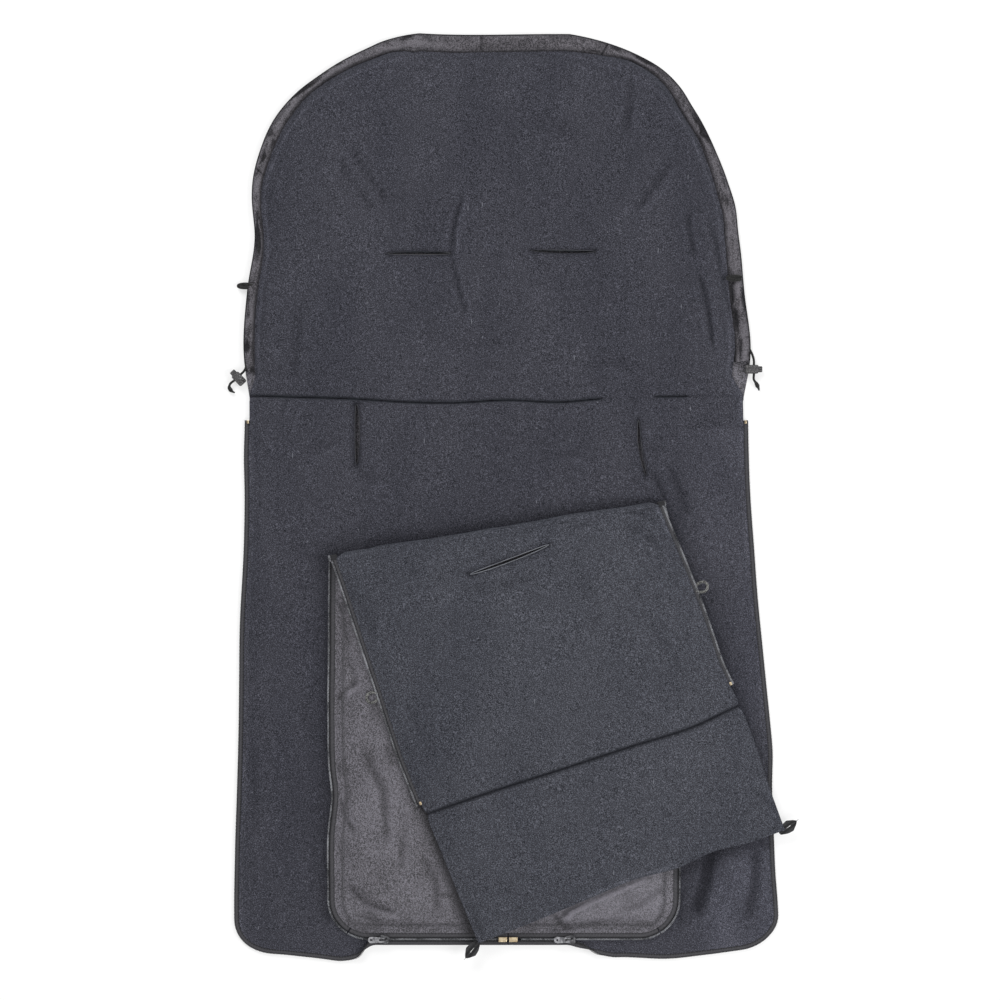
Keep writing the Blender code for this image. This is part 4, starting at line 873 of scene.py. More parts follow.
def makeBackShell():
    heights = rowHeights(bag["hoodY"])

    def thick(x, y):
        return np.full(len(x), bag["shell"])

    piece = softLayer("backShell", 110, len(heights) - 1, backPlace(heights, 0.0, thick, inner=False))
    for slit in slits.values():
        cutSlit(piece, slit, 0.0008, -.01, .03, .0042)
    # Painted shade along the seat seam
    keepValue(piece, "paintedShade", 0.5 * bell(spotsOf(piece)[:, 1] - bag["seamY"], .002))
    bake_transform(piece)
    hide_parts("mat_shell", "head_shell")
    return dress(piece, "shell")


def makeBinding(name, slit, top, body, finish, wide=.0034):
    # The turned edge round a slit
    turn = np.linspace(0, 2 * math.pi, 73)[:-1]
    along = np.cos(turn) * 1.01
    half = wide / 2 * np.sqrt(np.clip(1.02 - np.cos(turn) ** 2, .02, 1))
    x, y = slitPoint(slit, along, np.sign(np.sin(turn)) * half * np.clip(np.abs(np.sin(turn)) * 4, 0, 1))
    piece = asMesh(rod(name, np.column_stack([x, y, top(x, y) - .0004]), .00050, 1, cyclic=True))
    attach(piece, body)
    return dress(piece, finish)


makeBackLining()
makeBackShell()
for name, slit in slits.items():
    body = "head" if "shoulder" in name else "mat"
    makeBinding(name + "Binding", slit, backTop, body, "binding", slitOpen[name] + .0006)
print("back made")


# Front cover, flat half: a woven top over padding, with a fleece lining under it
cover = {
    "columns": 120, "rows": 140,
    "creases": (
        (((657, 868), (620, 884), (590, 897), (569, 908), (552, 928)), 3.2, 2.2),
        (((552, 902), (556, 918), (568, 930)), 2.4, 2.0),
        (((336, 702), (346, 690), (358, 680)), 3, 1.2),
        (((333, 596), (339, 604), (346, 622)), 2.6, 1.0),
        (((334, 612), (343, 624), (352, 650)), 3, 0.8),
        (((341, 796), (346, 817), (358, 838)), 3, 1.0),
        (((360, 740), (384, 790), (390, 850)), 6, 0.9),
        (((420, 850), (436, 880), (440, 915)), 6, 0.9),
        (((344, 880), (366, 902), (400, 914)), 4, 1.0),
        (((352, 912), (380, 924), (420, 926)), 3, 0.7),
        (((540, 934), (590, 924), (640, 916)), 4, 0.8),
        (((340, 652), (352, 668), (360, 700)), 4, 0.7),
        (((398, 800), (404, 830), (400, 872)), 5, 0.7),
        (((440, 890), (452, 900), (460, 926)), 3, 0.8),
        (((610, 914), (640, 904), (668, 884)), 4, 0.8),
    ),
    "hills": ((0.055, 0.0009, 31), (0.026, 0.0006, 32), (0.012, 0.0003, 33), (0.0065, 0.00012, 34)),
}
# How far its two sides lie from their plan, by height up the bag
coverWander = (
    (-.44, -.0022, 0), (-.394, -.0022, 0), (-.337, -.0021, 0), (-.297, .0016, 0), (-.269, -.0012, 0),
    (-.223, -.0022, 0), (-.15, -.0016, 0), (-.11, -.0014, 0), (-.085, -.0012, -.0010), (-.06, -.0010, -.0035),
    (-.04, -.0010, -.0075), (-.022, -.0010, -.0115), (-.009, -.0010, -.0150),
)


def coverSide(y, side):
    return (bag["coverLeft"] if side < 0 else bag["coverRight"]) + alongTable(coverWander, y, 1 if side < 0 else 2)


coverSpan = foldLine(bag["coverLeft"]) - bag["foldClear"] - bag["coverFoot"]


def coverPlan(u, t):
    # Rows are closer near the foot, where the corners turn
    d = coverSpan * np.where(t < .25, .12 * (1 - np.cos(t / .25 * math.pi / 2)), .12 + .88 * (t - .25) / .75)
    corner = inset(d, bag["coverCorner"])
    left = coverSide(bag["coverFoot"] + d, -1) + corner
    right = coverSide(bag["coverFoot"] + d * 1.13, 1) - corner
    x = left + (right - left) * (toEdges(u) + 1) / 2
    longer = foldLine(x) - bag["foldClear"] - bag["coverFoot"] - coverSpan
    return x, bag["coverFoot"] + d + longer * (d / coverSpan) ** 2


def coverOpen(x, y):
    # Where the folded half doesn't lie on it
    p, q = flapLocal(x, y)
    return np.maximum(ease((-q - .150) / .014), ease((p - .366) / .014))


def coverRim(x, y):
    d = y - bag["coverFoot"]
    corner = inset(d, bag["coverCorner"])
    return np.minimum(np.minimum(x - coverSide(y, -1) - corner, coverSide(y, 1) - corner - x), d)


def coverTop(x, y):
    base = coverBase(x, y)
    share = coverShare(x, y) * foldShare(foldLine(x) - y)
    z = base + bag["rim"] + bag["coverSwell"] * share
    rim = coverRim(x, y)
    z = np.where(rim < .0105, np.minimum(z, base + bag["thin"] + .0012 * ease((rim - .001) / .006)), z)
    relief = clothRelief(x, y, cover) + .0009 * bell(rim - .018, .012) * drift(x * .4, y, .009, 35)
    return z + relief * coverOpen(x, y) * ease((rim - .006) / .010)


def makeCover():
    def paddedPlace(u, t):
        x, y = coverPlan(u, t)
        return x, y, coverBase(x, y) + .0016, coverTop(x, y)

    def liningPlace(u, t):
        x, y = coverPlan(u, t)
        return x, y, coverBase(x, y), coverBase(x, y) + bag["lining"]

    piece = softLayer("coverTop", cover["columns"], cover["rows"], paddedPlace)
    x, y = spotsOf(piece)[:, :2].T
    rim = coverRim(x, y)
    bare = coverOpen(x, y)
    # Painted shade: in the creases, along the groove inside the edge, in wrinkles given only as colour, and a
    # painted shadow beside the folded half's left side
    deep = np.clip(-creases(x, y, cover["creases"]) / .0016, 0, .8) * bare
    crumple = drift(x, y, .016, 36) * .6 + drift(x + y * .4, y * .4, .008, 37) * .4
    p, q = flapLocal(x, y)
    past = -q - bag["flapHalf"]
    paintedShadow = .80 * bell(np.maximum(past - .0035, 0), .0075) * ease((past + .006) / .004)
    paintedShadow = paintedShadow * ease((p - .09) / .07) * ease((bag["flapEnd"] + .012 - p) / .012)
    paintedShade = np.maximum(deep, 0.55 * bell(rim - .0085, .0018))
    paintedShade = np.maximum(paintedShade, np.clip(-crumple * 1.6 - .35, 0, 1) * .5 * bare)
    keepValue(piece, "paintedShade", np.maximum(paintedShade, paintedShadow))
    # Painted highlight: on the lit sides of creases and wrinkles, and a pool of painted light at the lower right,
    # kept off the edge and the painted shadow
    lit = np.maximum(litSide(x, y, cover["creases"], .0016) * .9, np.clip(crumple - .2, 0, 1) * .45) * bare
    lit = np.maximum(lit, .34 * ease((p - .30) / .08) * ease(q / .1 + 1.3))
    keepValue(piece, "lit", lit * ease((rim - .010) / .006) * (1 - paintedShadow))
    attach(piece, "cover")
    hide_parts("cover_shell", "cover_wadding")
    dress(piece, "shell")
    piece = softLayer("coverLining", 60, 80, liningPlace)
    keepValue(piece, "paintedShade", 0)
    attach(piece, "cover")
    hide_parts("cover_fleece")
    dress(piece, "fleece")


makeCover()
print("cover made")


# Folded half of the cover with its collar: fleece side up, bent at the collar's seam
flap = {
    "columns": 118, "rows": 130,
    "hills": ((0.085, 0.0009, 41), (0.040, 0.0006, 42), (0.018, 0.0003, 43), (0.009, 0.00014, 44)),
    "creases": (
        (((344, 570), (360, 600), (378, 640)), 6, 0.8),
        (((470, 592), (500, 586), (540, 574)), 6, 0.6),
        (((566, 530), (590, 522), (612, 516)), 4, 0.9),
        (((608, 510), (636, 512), (660, 522)), 3.2, 1.5),
        (((618, 522), (640, 532), (666, 552)), 4, 1.1),
        (((574, 566), (590, 600), (596, 640)), 8, 0.6),
        (((640, 600), (662, 640), (690, 690)), 8, 0.6),
        (((704, 722), (722, 716), (738, 712)), 3, 0.8),
        (((446, 818), (470, 812), (492, 806)), 4, 0.7),
        (((748, 788), (764, 798), (780, 814)), 4, 1.0),
        (((470, 900), (476, 920), (486, 938)), 4, 0.9),
        (((520, 800), (560, 790), (600, 772)), 6, 0.5),
        (((596, 868), (606, 882), (612, 886)), 4, 0.9),
        (((400, 690), (420, 720), (436, 770)), 8, 0.6),
    ),
    "slit": ((0.0035, -0.0620), 0.084, math.radians(20.6), -0.0009),
    "seamShift": (
        (-.162, -.0055), (-.10, -.0035), (-.02, .0010), (.05, .0045), (.12, .0085), (.15, .0065), (.162, .0060),
    ),
    "endWave": (
        (-.162, 0), (-.11, -.0006), (-.035, -.0033), (.005, -.0046), (.05, .0002), (.087, -.0017), (.125, .0033),
        (.162, .0046),
    ),
    "seamBand": .009, "seamFrom": .52, "seamTo": .68,
}
# How far its two sides lie outside their plan, by the distance from the fold
flapWander = (
    (-.035, -.0055, 0), (0, -.0045, 0), (.05, -.0020, .0005), (.10, 0, .0020), (.156, .0028, .0020),
    (.178, .0036, .0012), (.20, .0034, .0005), (.222, .0030, .0020), (.242, .0024, .0042), (.30, .0010, .0048),
    (.333, .0005, .0030), (.38, 0, .0020),
)


def flapEdge(p, q):
    return bag["flapHalf"] + np.where(np.asarray(q) < 0, alongTable(flapWander, p, 1), alongTable(flapWander, p, 2))


def collarSeam(q):
    return bag["flapLength"] + alongTable(flap["seamShift"], q, 1)


def flapFinish(q):
    return bag["flapEnd"] + alongTable(flap["endWave"], q, 1)


def flapPlan(u, t):
    # Rows are closer at the collar's seam
    band, one, two = flap["seamBand"], flap["seamFrom"], flap["seamTo"]
    q = toEdges(u, .2) * bag["flapHalf"] * (1 - .012 * ease((t - .55) / .05) * ease((.66 - t) / .05))
    start, seam, end = flapStart(q), collarSeam(q), flapFinish(q)
    before = start + (seam - band - start) * t / one
    middle = seam - band + 2 * band * (t - one) / (two - one)
    after = seam + band + (end - seam - band) * (t - two) / (1 - two)
    p = np.where(t < one, before, np.where(t < two, middle, after))
    return flapSpot(p, q * flapEdge(p, q) / bag["flapHalf"])


def flapTop(x, y):
    p, q = flapLocal(x, y)
    side = flapEdge(p, q) - np.abs(q)
    end = flapFinish(q) - p
    offSeam = p - collarSeam(q)
    start = p - flapStart(q)
    share = ramp((side - .002) / .020) * ramp((end - .002) / .018) * foldShare(start)
    groove = np.maximum(np.exp(-(np.abs(offSeam) / .0028) ** 1.5) * .92, .30 * bell(offSeam, .014))
    z = flapBase(x, y) + bag["rim"] + bag["coverSwell"] * share * (1 - groove)
    relief = clothRelief(x, y, flap) + .0009 * bell(offSeam - .0065, .0034)
    d = slitDistance(flap["slit"], x, y)
    relief = relief + .0012 * bell(d - .0055, .0035)
    pucker = .0009 * drift(p, q * .3, .010, 45) * bell(side - .010, .008)
    pucker = pucker + .0007 * drift(p * .2, q, .012, 46) * bell(np.abs(offSeam) - .010, .008)
    return z + levelOff(relief + pucker, .0010) * np.clip(share * 1.4, 0, 1)


def makeFlap():
    def topPlace(u, t):
        x, y = flapPlan(u, t)
        return x, y, flapBase(x, y) + .0010, flapTop(x, y)

    def underPlace(u, t):
        x, y = flapPlan(u, t)
        return x, y, flapBase(x, y), flapBase(x, y) + bag["shell"]

    z = bag["flapLow"] + bag["thin"]
    bend = {"start": (*flapSpot(bag["flapLength"] - .001, 0), z), "end": (*flapSpot(bag["flapLength"] + .022, 0), z)}
    piece = softLayer("flapLining", flap["columns"], flap["rows"], topPlace)
    cutSlit(piece, flap["slit"], .0040, .01, .04)
    x, y, z = spotsOf(piece).T
    p, q = flapLocal(x, y)
    # Painted shade in the collar's seam, round the slit and in the creases
    seam = bell(p - collarSeam(q), .0018)
    slit = bell(slitDistance(flap["slit"], x, y), .0030)
    deep = np.clip(-creases(x, y, flap["creases"]) / .004, 0, .3)
    keepValue(piece, "paintedShade", np.maximum(np.maximum(seam * .95, slit * .95), deep))
    # Painted highlight: light rims along the right side and the end, and on the lit sides of creases
    side = flapEdge(p, q) - np.abs(q)
    end = flapFinish(q) - p
    lit = .60 * bell(side - .0024, .0011) * (q > 0) + .40 * bell(end - .0028, .0011)
    lit = np.maximum(lit * (z > bag["flapLow"] + .003), .4 * litSide(x, y, flap["creases"], .0040))
    keepValue(piece, "lit", lit)
    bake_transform(piece)
    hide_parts("flap_fleece", "flap_wadding", "collar_fleece", "collar_wadding")
    dress(piece, "flapFleecePaintedLighter")
    piece = softLayer("flapShell", 60, 100, underPlace)
    cutSlit(piece, flap["slit"], .0008, .01, .04, .0026)
    p, q = flapLocal(*spotsOf(piece)[:, :2].T)
    # Painted shade along the collar's seam
    keepValue(piece, "paintedShade", .6 * bell(p - collarSeam(q), .0022))
    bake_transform(piece)
    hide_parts("flap_shell", "collar_shell")
    dress(piece, "flapShell")


def makeFoldRoll():
    # The padded fold between the two halves of the cover
    piece, spots, upper = twoSided("foldRoll", 110, 16)
    u, t = toEdges(spots[:, 0], .5), (spots[:, 1] + 1) / 2
    half = flapEdge(flapStart(u * bag["flapHalf"]), u)
    q, turn = u * half, (t - .5) * math.pi
    x, y = flapSpot(flapStart(q) - bag["foldClear"], q)
    end = np.sqrt(ease((half - np.abs(q)) / .010) * .94 + .06)
    high = (.0030 + .0022 * end) * (1 + .03 * drift(x, y, .03, 51))
    out = .0054 * end + (.0009 * drift(x, y, .034, 52) + .0005 * drift(x, y, .012, 53)) * np.cos(turn) * end
    c, s = math.cos(bag["foldTurn"] + math.pi / 2), math.sin(bag["foldTurn"] + math.pi / 2)
    outward = np.where(upper, out * np.cos(turn), -.0008)
    setSpots(piece, np.stack([x + outward * c, y + outward * s, bag["foldZ"] + high * np.sin(turn)], 1))
    smoothed(piece, 50)
    keepValue(piece, "paintedShade", 0)
    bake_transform(piece)
    dress(piece, "flapFleecePaintedLighter")


makeFlap()
makeFoldRoll()
makeBinding("flapSlitBinding", flap["slit"], flapTop, "flap", "bindingPaintedHighlight")
print("flap made")


# Hood border: a gathered channel of woven cloth
border = {
    "across": 50, "along": 560, "low": 0.0010, "halfHeight": 0.0032,
    "topShare": .56, "hemShare": .70, "tucked": .0012,
    "puckers": (
        (401, 42), (332, 75), (300, 92), (272, 145), (268, 160), (265, 178), (256, 230), (612, 60), (640, 62),
        (700, 128), (728, 200), (738, 300), (244, 330),
    ),
    "seams": ((482, 45), (606, 48), (266, 170)),
}


def makeBorder():
    # Round the channel, then flat under the lining to its seam and back along the underside
    s, line = hoodRim(border["along"] + 1)
    piece = flatGrid("hoodBorder", border["along"], border["across"])
    spots = spotsOf(piece)
    turnAt, hemAt, tall = border["topShare"], border["hemShare"], border["halfHeight"]
    k = np.round((spots[:, 0] + 1) / 2 * border["along"]).astype(int)
    t = (spots[:, 1] + 1) / 2
    full = np.linalg.norm(line[k, :2] - line[k, 2:], axis=1)
    way = (line[k, :2] - line[k, 2:]) / full[:, None]
    turned = hoodWay(line[k, 0], line[k, 1])
    outer = line[k, :2] + way * rimShift(turned)[:, None]
    shown = shownWidth(turned) + border["tucked"]
    full = np.maximum(full, shown + .002)
    along = s[k]
    fromEnd = np.minimum(along, s[-1] - along)
    squeeze = bell(fromEnd, .010)
    mark = np.zeros(len(along))
    for point in border["puckers"]:
        px, py = photoPoint(*point)
        mark = np.maximum(mark, bell(np.hypot(outer[:, 0] - px, outer[:, 1] - py), .020))
    ruffle = .35 + .7 * np.exp(-fromEnd / .10) + 1.3 * mark
    top = t < turnAt
    angle = np.clip(t / turnAt, 0, 1) * math.pi
    slant = along + np.cos(angle) * .006
    wave = drift(slant, 0 * along, .015, 61) * .55 + drift(slant, np.cos(angle) * .006, .0062, 62) * .45
    swell = 1 + .05 * ruffle * wave * (np.cos(angle) < 0)
    reach = shown / 2 * (1 - np.cos(angle) * swell * (1 - .08 * squeeze))
    height = tall * (1 + .26 * ruffle * wave - .25 * squeeze)
    high = border["low"] + (tall * .9 + height * np.sin(angle)) * (1 - .40 * (1 - np.cos(angle)) / 2)
    high = high - .0005 * bell(np.cos(angle) + .62, .10)
    share = (t - turnAt) / (hemAt - turnAt)
    inward = np.where(t < hemAt, shown + (full - shown) * share, full * (1 - (t - hemAt) / (1 - hemAt)))
    under = border["low"] + np.where(t < hemAt, .0006 * (1 - share), tall * .9 * ease((t - .90) / .10))
    # Painted shade: a dark line along the outer edge and along the inner edge
    paintedShade = np.exp(-(reach / .0017) ** 4) + .85 * bell(shown - border["tucked"] - reach, .0020)
    crumple = drift(along * .34 + reach * .7, reach * 2.0, .010, 63) * .6
    crumple = crumple + drift(along * .6 - reach * .4, reach * 1.6, .005, 64) * .4
    # Painted shade in the wrinkles, stronger at the puckers and the ends
    strong = .30 + .70 * np.clip(mark * 1.4 + np.exp(-fromEnd / .06), 0, 1)
    paintedShade = np.maximum(paintedShade, strong * np.clip(-crumple * 4.2 - .30, 0, .9))
    high = high + .0020 * crumple * strong * np.sin(angle)
    # Painted highlight on the wrinkles' lit sides
    lit = strong * np.clip(crumple * 3.6 - .30, 0, .8) * np.sin(angle) * (1 - np.clip(paintedShade, 0, 1))
    # Seams: a small dip with painted shade in it
    for point in border["seams"]:
        px, py = photoPoint(*point)
        near = rimSteps[np.argmin(np.hypot(rimLine[:, 0] - px, rimLine[:, 1] - py))]
        high = high - .0007 * bell(along - near, .0016)
        paintedShade = np.maximum(paintedShade, bell(along - near, .0013))
    spot = outer - way * np.where(top, reach, inward)[:, None]
    setSpots(piece, np.column_stack([spot, np.where(top, high, under)]))
    # The underside is kept in painted shade
    keepValue(piece, "paintedShade", np.where(top, np.clip(paintedShade, 0, 1), .9))
    keepValue(piece, "lit", np.where(top, np.clip(lit, 0, 1) * .8, 0))
    onlySelect(piece)
    bpy.ops.object.mode_set(mode="EDIT")
    bpy.ops.mesh.select_all(action="SELECT")
    bpy.ops.mesh.remove_doubles(threshold=.00002)
    bpy.ops.mesh.normals_make_consistent(inside=False)
    bpy.ops.object.mode_set(mode="OBJECT")
    applied(piece, "SOLIDIFY", thickness=.0005, offset=-1)
    smoothed(piece, 60)
    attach(piece, "head")
    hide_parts("hood_border")
    dress(piece, "border")


makeBorder()
print("border made")


# Zips: woven tapes with painted shade along them, and coils wound as real wire
tape = {
    "thick": .0006, "coilRadius": .00080, "wire": .00030, "pitch": .0014, "coilRise": .0005, "tuck": -.0012,
    "overLining": .00115, "turnOut": .0050, "shut": .0098,
    "coilInset": {"mat": .0006, "coverFoot": -.0007, "cover": -.0008, "flap": -.0008},
    # Painted shade lines on each tape
    "marks": {
        "mat": ((.0004, .0011, .95), (.0046, .0011, .85)),
        "coverFoot": ((.0002, .0009, .8), (.0052, .0012, .95)),
        "cover": ((.0053, .0013, 1), (.0001, .0008, .8)),
        "flap": ((.0001, .0010, 1), (.0042, .0010, 1)),
    },
}


def evenly(path, count):
    # The same path with points evenly spaced
    path = np.array(path, float)
    steps = stepsOf(path)
    s = np.linspace(0, steps[-1], count)
    return np.column_stack([np.interp(s, steps, path[:, k]) for k in range(path.shape[1])])


def woundCoil(name, line, finish="coil"):
    # Wire wound round the line, a turn for each tooth
    turns = max(2, int(stepsOf(line)[-1] / tape["pitch"]))
    line = evenly(line, turns * 8 + 1)
    ahead = np.gradient(line, axis=0)
    ahead /= np.linalg.norm(ahead, axis=1, keepdims=True)
    side = np.cross(ahead, (0, 0.02, 1))
    side /= np.linalg.norm(side, axis=1, keepdims=True)
    up = np.cross(side, ahead)
    angle = (np.arange(len(line)) * math.pi / 4)[:, None]
    points = line + tape["coilRadius"] * (side * np.cos(angle) + up * np.sin(angle) * .8)
    return dress(asMesh(rod(name, points, tape["wire"], 0)), finish)


def tapeStrip(name, rows):
    # A woven strip through rows of points, given its thickness and softened
    piece = flatGrid(name, len(rows[0]) - 1, len(rows) - 1)
    spots = spotsOf(piece)
    k = np.round((spots[:, 0] + 1) / 2 * (len(rows[0]) - 1)).astype(int)
    j = np.round((spots[:, 1] + 1) / 2 * (len(rows) - 1)).astype(int)
    setSpots(piece, np.array(rows)[j, k])
    applied(piece, "SOLIDIFY", thickness=tape["thick"], offset=0)
    applied(piece, "SUBSURF", levels=1, render_levels=1, boundary_smooth="PRESERVE_CORNERS")
    smoothed(piece, 45)
    return dress(piece, "tape")


def shade(piece, path, marks):
    # Painted shade along lines at some distance from the path: distance, width and strength for each
    spots = spotsOf(piece)
    near = np.min(np.hypot(spots[:, None, 0] - path[None, :, 0], spots[:, None, 1] - path[None, :, 1]), axis=1)
    dark = np.zeros(len(spots))
    for reach, width, strength in marks:
        dark = np.maximum(dark, strength * bell(near - reach, width))
    keepValue(piece, "paintedShade", dark)


def zipHalf(label, side, path, bendsAt, coilSide, body, coilCut=0.0):
    path = evenly(path, max(40, len(path)))
    step = np.gradient(path, axis=0)
    step /= np.linalg.norm(step, axis=1, keepdims=True)
    out = np.column_stack([-side * step[:, 1], side * step[:, 0]])
    low, knee, high, width, slope = bendsAt(path)
    acrossWay, upWay = np.cos(slope), np.sin(slope)
    rows = [np.column_stack([path + out * tape["tuck"], low])]
    for share in (0, .5, 1):
        reach = knee + width * share * acrossWay
        rows.append(np.column_stack([path + out * reach[:, None], high + width * share * upWay]))
    end = "Left" if side < 0 else "Right"
    node = {"mat": "mat_zip", "coverFoot": "cover_foot_zip", "cover": "cover_zip", "flap": "flap_zip"}[label]
    piece = tapeStrip(label + "Tape" + end, rows)
    shade(piece, path, tape["marks"][label])
    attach(piece, body)
    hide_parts(f"{node}_tape_{end.lower()}")
    width, rise = width - tape["coilInset"][label], tape["coilRise"] * coilSide
    reach = knee + width * acrossWay + rise * upWay
    z = high + width * upWay - rise * acrossWay
    line = np.column_stack([path + out * reach[:, None], z])
    if coilCut:
        line = line[np.abs(line[:, 0] - bag["meet"]) > coilCut]
    # The mat's coil is dark; the other coils take the pale copy with painted glints
    piece = woundCoil(label + "Coil" + end, line, "coil" if label == "mat" else "coilPaintedGlints")
    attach(piece, body)
    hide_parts(f"{node}_coil_{end.lower()}")


def matPath(side):
    d = np.linspace(.538, bag["footCorner"], 150)
    turn = np.linspace(0, math.pi / 2, 24)[1:]
    d = np.concatenate([d, bag["footCorner"] * (1 - np.sin(turn))])
    y = bag["footY"] + d
    x = matSide(y, side) - side * inset(d, bag["footCorner"])
    foot = np.linspace(x[-1], bag["meet"] + side * .0004, 120)[1:]
    x, y = np.concatenate([x, foot]), np.concatenate([y, bag["footY"] + 0 * foot])
    return np.column_stack([x, y + footLift(x, y)])


def matBends(side):
    # The tape lies flat beside the mat and stands up along the closed chain
    chainEnd = (bag["chainLeft"] if side < 0 else bag["chainRight"]) + side * bag["chainBeyond"]

    def bends(path):
        shut = ease(1 - side * (path[:, 0] - chainEnd) / .030)
        return .0026 + 0 * shut, .0023 * (1 - shut), .0026 + .0029 * shut, .0024 + .0031 * shut, math.pi * shut
    return bends


def coverCorner(side, turn):
    edge = coverSide(bag["coverFoot"] + bag["coverCorner"], side)
    r = bag["coverCorner"]
    return np.column_stack([edge - side * r * (1 - np.sin(turn)), bag["coverFoot"] + r * (1 - np.cos(turn))])


def levelBends(base, above, knee=.0025, width=.0032):
    def bends(path):
        z = base(path[:, 0], path[:, 1]) + above
        return z, knee + 0 * z, z, width + 0 * z, 0 * z
    return bends


def zipTurn(side):
    # Tape and coil carried round the fold, from the flat half to the folded half
    end = "Left" if side < 0 else "Right"
    yA = foldLine(coverSide(-.02, side)) - .001
    pointA, wayA = np.array([coverSide(yA, side), yA]), np.array([side, 0.0])
    start = flapStart(side * bag["flapHalf"])
    pointB = np.array(flapSpot(start, side * flapEdge(start, side)))
    wayB = side * np.array([-math.sin(bag["flapTurn"]), math.cos(bag["flapTurn"])])
    under = coverBase(*pointA) + tape["overLining"]
    over = flapBase(*pointB) + bag["thin"]
    turn = np.linspace(-.10, math.pi + .10, 17)
    share = (1 - np.cos(np.clip(turn, 0, math.pi)))[:, None] / 2
    beyond = np.array([-math.sin(bag["foldTurn"]), math.cos(bag["foldTurn"])])
    out = (tape["turnOut"] * np.sin(turn))[:, None] * beyond
    base = pointA * (1 - share) + pointB * share + out
    reachWay = wayA * (1 - share) + wayB * share
    z = (under + over) / 2 - (over - under) / 2 * np.cos(turn)
    rows = [np.column_stack([base + reachWay * reach, z]) for reach in (tape["tuck"], .0019, .0038, .0057)]
    piece = tapeStrip("zipTurnTape" + end, rows)
    # Painted shade over the whole turned tape
    keepValue(piece, "paintedShade", .7)
    inward = np.column_stack([out / -tape["turnOut"], np.cos(turn)]) * tape["coilRise"]
    coil = woundCoil("zipTurnCoil" + end, np.column_stack([base + reachWay * .0065, z]) + inward, "coilPaintedGlints")
    x0, y0 = flapSpot(start, side * bag["flapHalf"])
    for part in (piece, coil):
        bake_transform(part)


for hand in (-1, 1):
    zipHalf("mat", hand, matPath(hand), matBends(hand), 1, "mat", tape["shut"])
    foot = np.linspace(coverCorner(hand, np.zeros(1))[0, 0], bag["meet"] + hand * .0004, 40)[1:]
    corner = coverCorner(hand, np.linspace(math.radians(32), 0, 10))
    path = np.vstack([corner, np.column_stack([foot, np.full(39, bag["coverFoot"])])])
    zipHalf("coverFoot", hand, path, levelBends(coverBase, tape["overLining"]), -1, "mat", tape["shut"])
    sideY = np.linspace(foldLine(coverSide(-.07, hand)) - .001, bag["coverFoot"] + bag["coverCorner"], 110)
    corner = coverCorner(hand, np.linspace(math.pi / 2, math.radians(33), 14)[1:])
    path = np.vstack([np.column_stack([coverSide(sideY, hand), sideY]), corner])
    zipHalf("cover", hand, path, levelBends(coverBase, tape["overLining"]), -1, "cover")
    p = np.linspace(flapStart(hand * bag["flapHalf"]), .226, 70)
    path = np.column_stack(flapSpot(p, hand * flapEdge(p, hand)))
    zipHalf("flap", hand, path, levelBends(flapBase, bag["thin"], .0014, .0014 if hand > 0 else .0027), -1, "flap")
    zipTurn(hand)
print("zips made")


# Drawcord: a hidden run inside the channel, and two tails through the cord locks
drawcord = {
    "radius": .0012, "runZ": .0040, "lockZ": .0046, "inLock": (-.0075, -.0046, 0, .0046, .0106),
    "tailZ": (.0044, .0036, .0030, .0028),
    # Where each lock lies, which way its tail runs, and the tail's points along and beside that way
    "Left": ((-.2690, .1200), math.radians(223), ((.0132, .0020), (.0138, .0044), (.0136, .0068), (.0126, .0092))),
    "Right": ((.2485, .1280), math.radians(-90), ((.0136, .0020), (.0160, .0034), (.0184, .0046), (.0212, .0054))),
}


def makeDrawcord():
    s, line = hoodRim(160)
    way = line[:, :2] - line[:, 2:]
    way /= np.linalg.norm(way, axis=1, keepdims=True)
    turned = hoodWay(line[:, 0], line[:, 1])
    middle = line[:, :2] + way * (rimShift(turned) - shownWidth(turned) / 2)[:, None]
    run = np.column_stack([middle, np.full(160, drawcord["runZ"])])[4:-4]
    piece = asMesh(rod("drawcordRun", run, drawcord["radius"], 2))
    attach(piece, "head")
    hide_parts("hood_drawcord")
    dress(piece, "cord")
    for name, start in (("Left", run[0]), ("Right", run[-1])):
        hole, way, tail = drawcord[name]
        c, s = math.cos(way), math.sin(way)

        def along(d, aside, z):
            return (hole[0] + d * c - aside * s, hole[1] + d * s + aside * c, z)

        points = [start + (0, 0, .0001)] + [along(d, 0, drawcord["lockZ"]) for d in drawcord["inLock"]]
        points += [along(d, aside, z) for (d, aside), z in zip(tail, drawcord["tailZ"])]
        smooth = smoothLine(points, 60)
        length = stepsOf(smooth)[-1]
        left = length - stepsOf(smooth)
        knot = bell(left - .0052, .0018) + bell(left - .0078, .0012) * .6
        radii = 1 + .85 * np.clip(knot, 0, 1) - .35 * ease((.0036 - left) / .0036)
        piece = asMesh(rod("drawcordTail" + name, smooth, drawcord["radius"], 3, radii))
        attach(piece, "head")
        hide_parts("hood_drawcord")
        dress(piece, "cord")


# Half length, half width and cord radius of each loop, how much its far end is drawn out and its root narrowed
loops = {"head": (.0066, .0017, .0018, .15, 0), "flap": (.0058, .0056, .0014, .15, .25)}


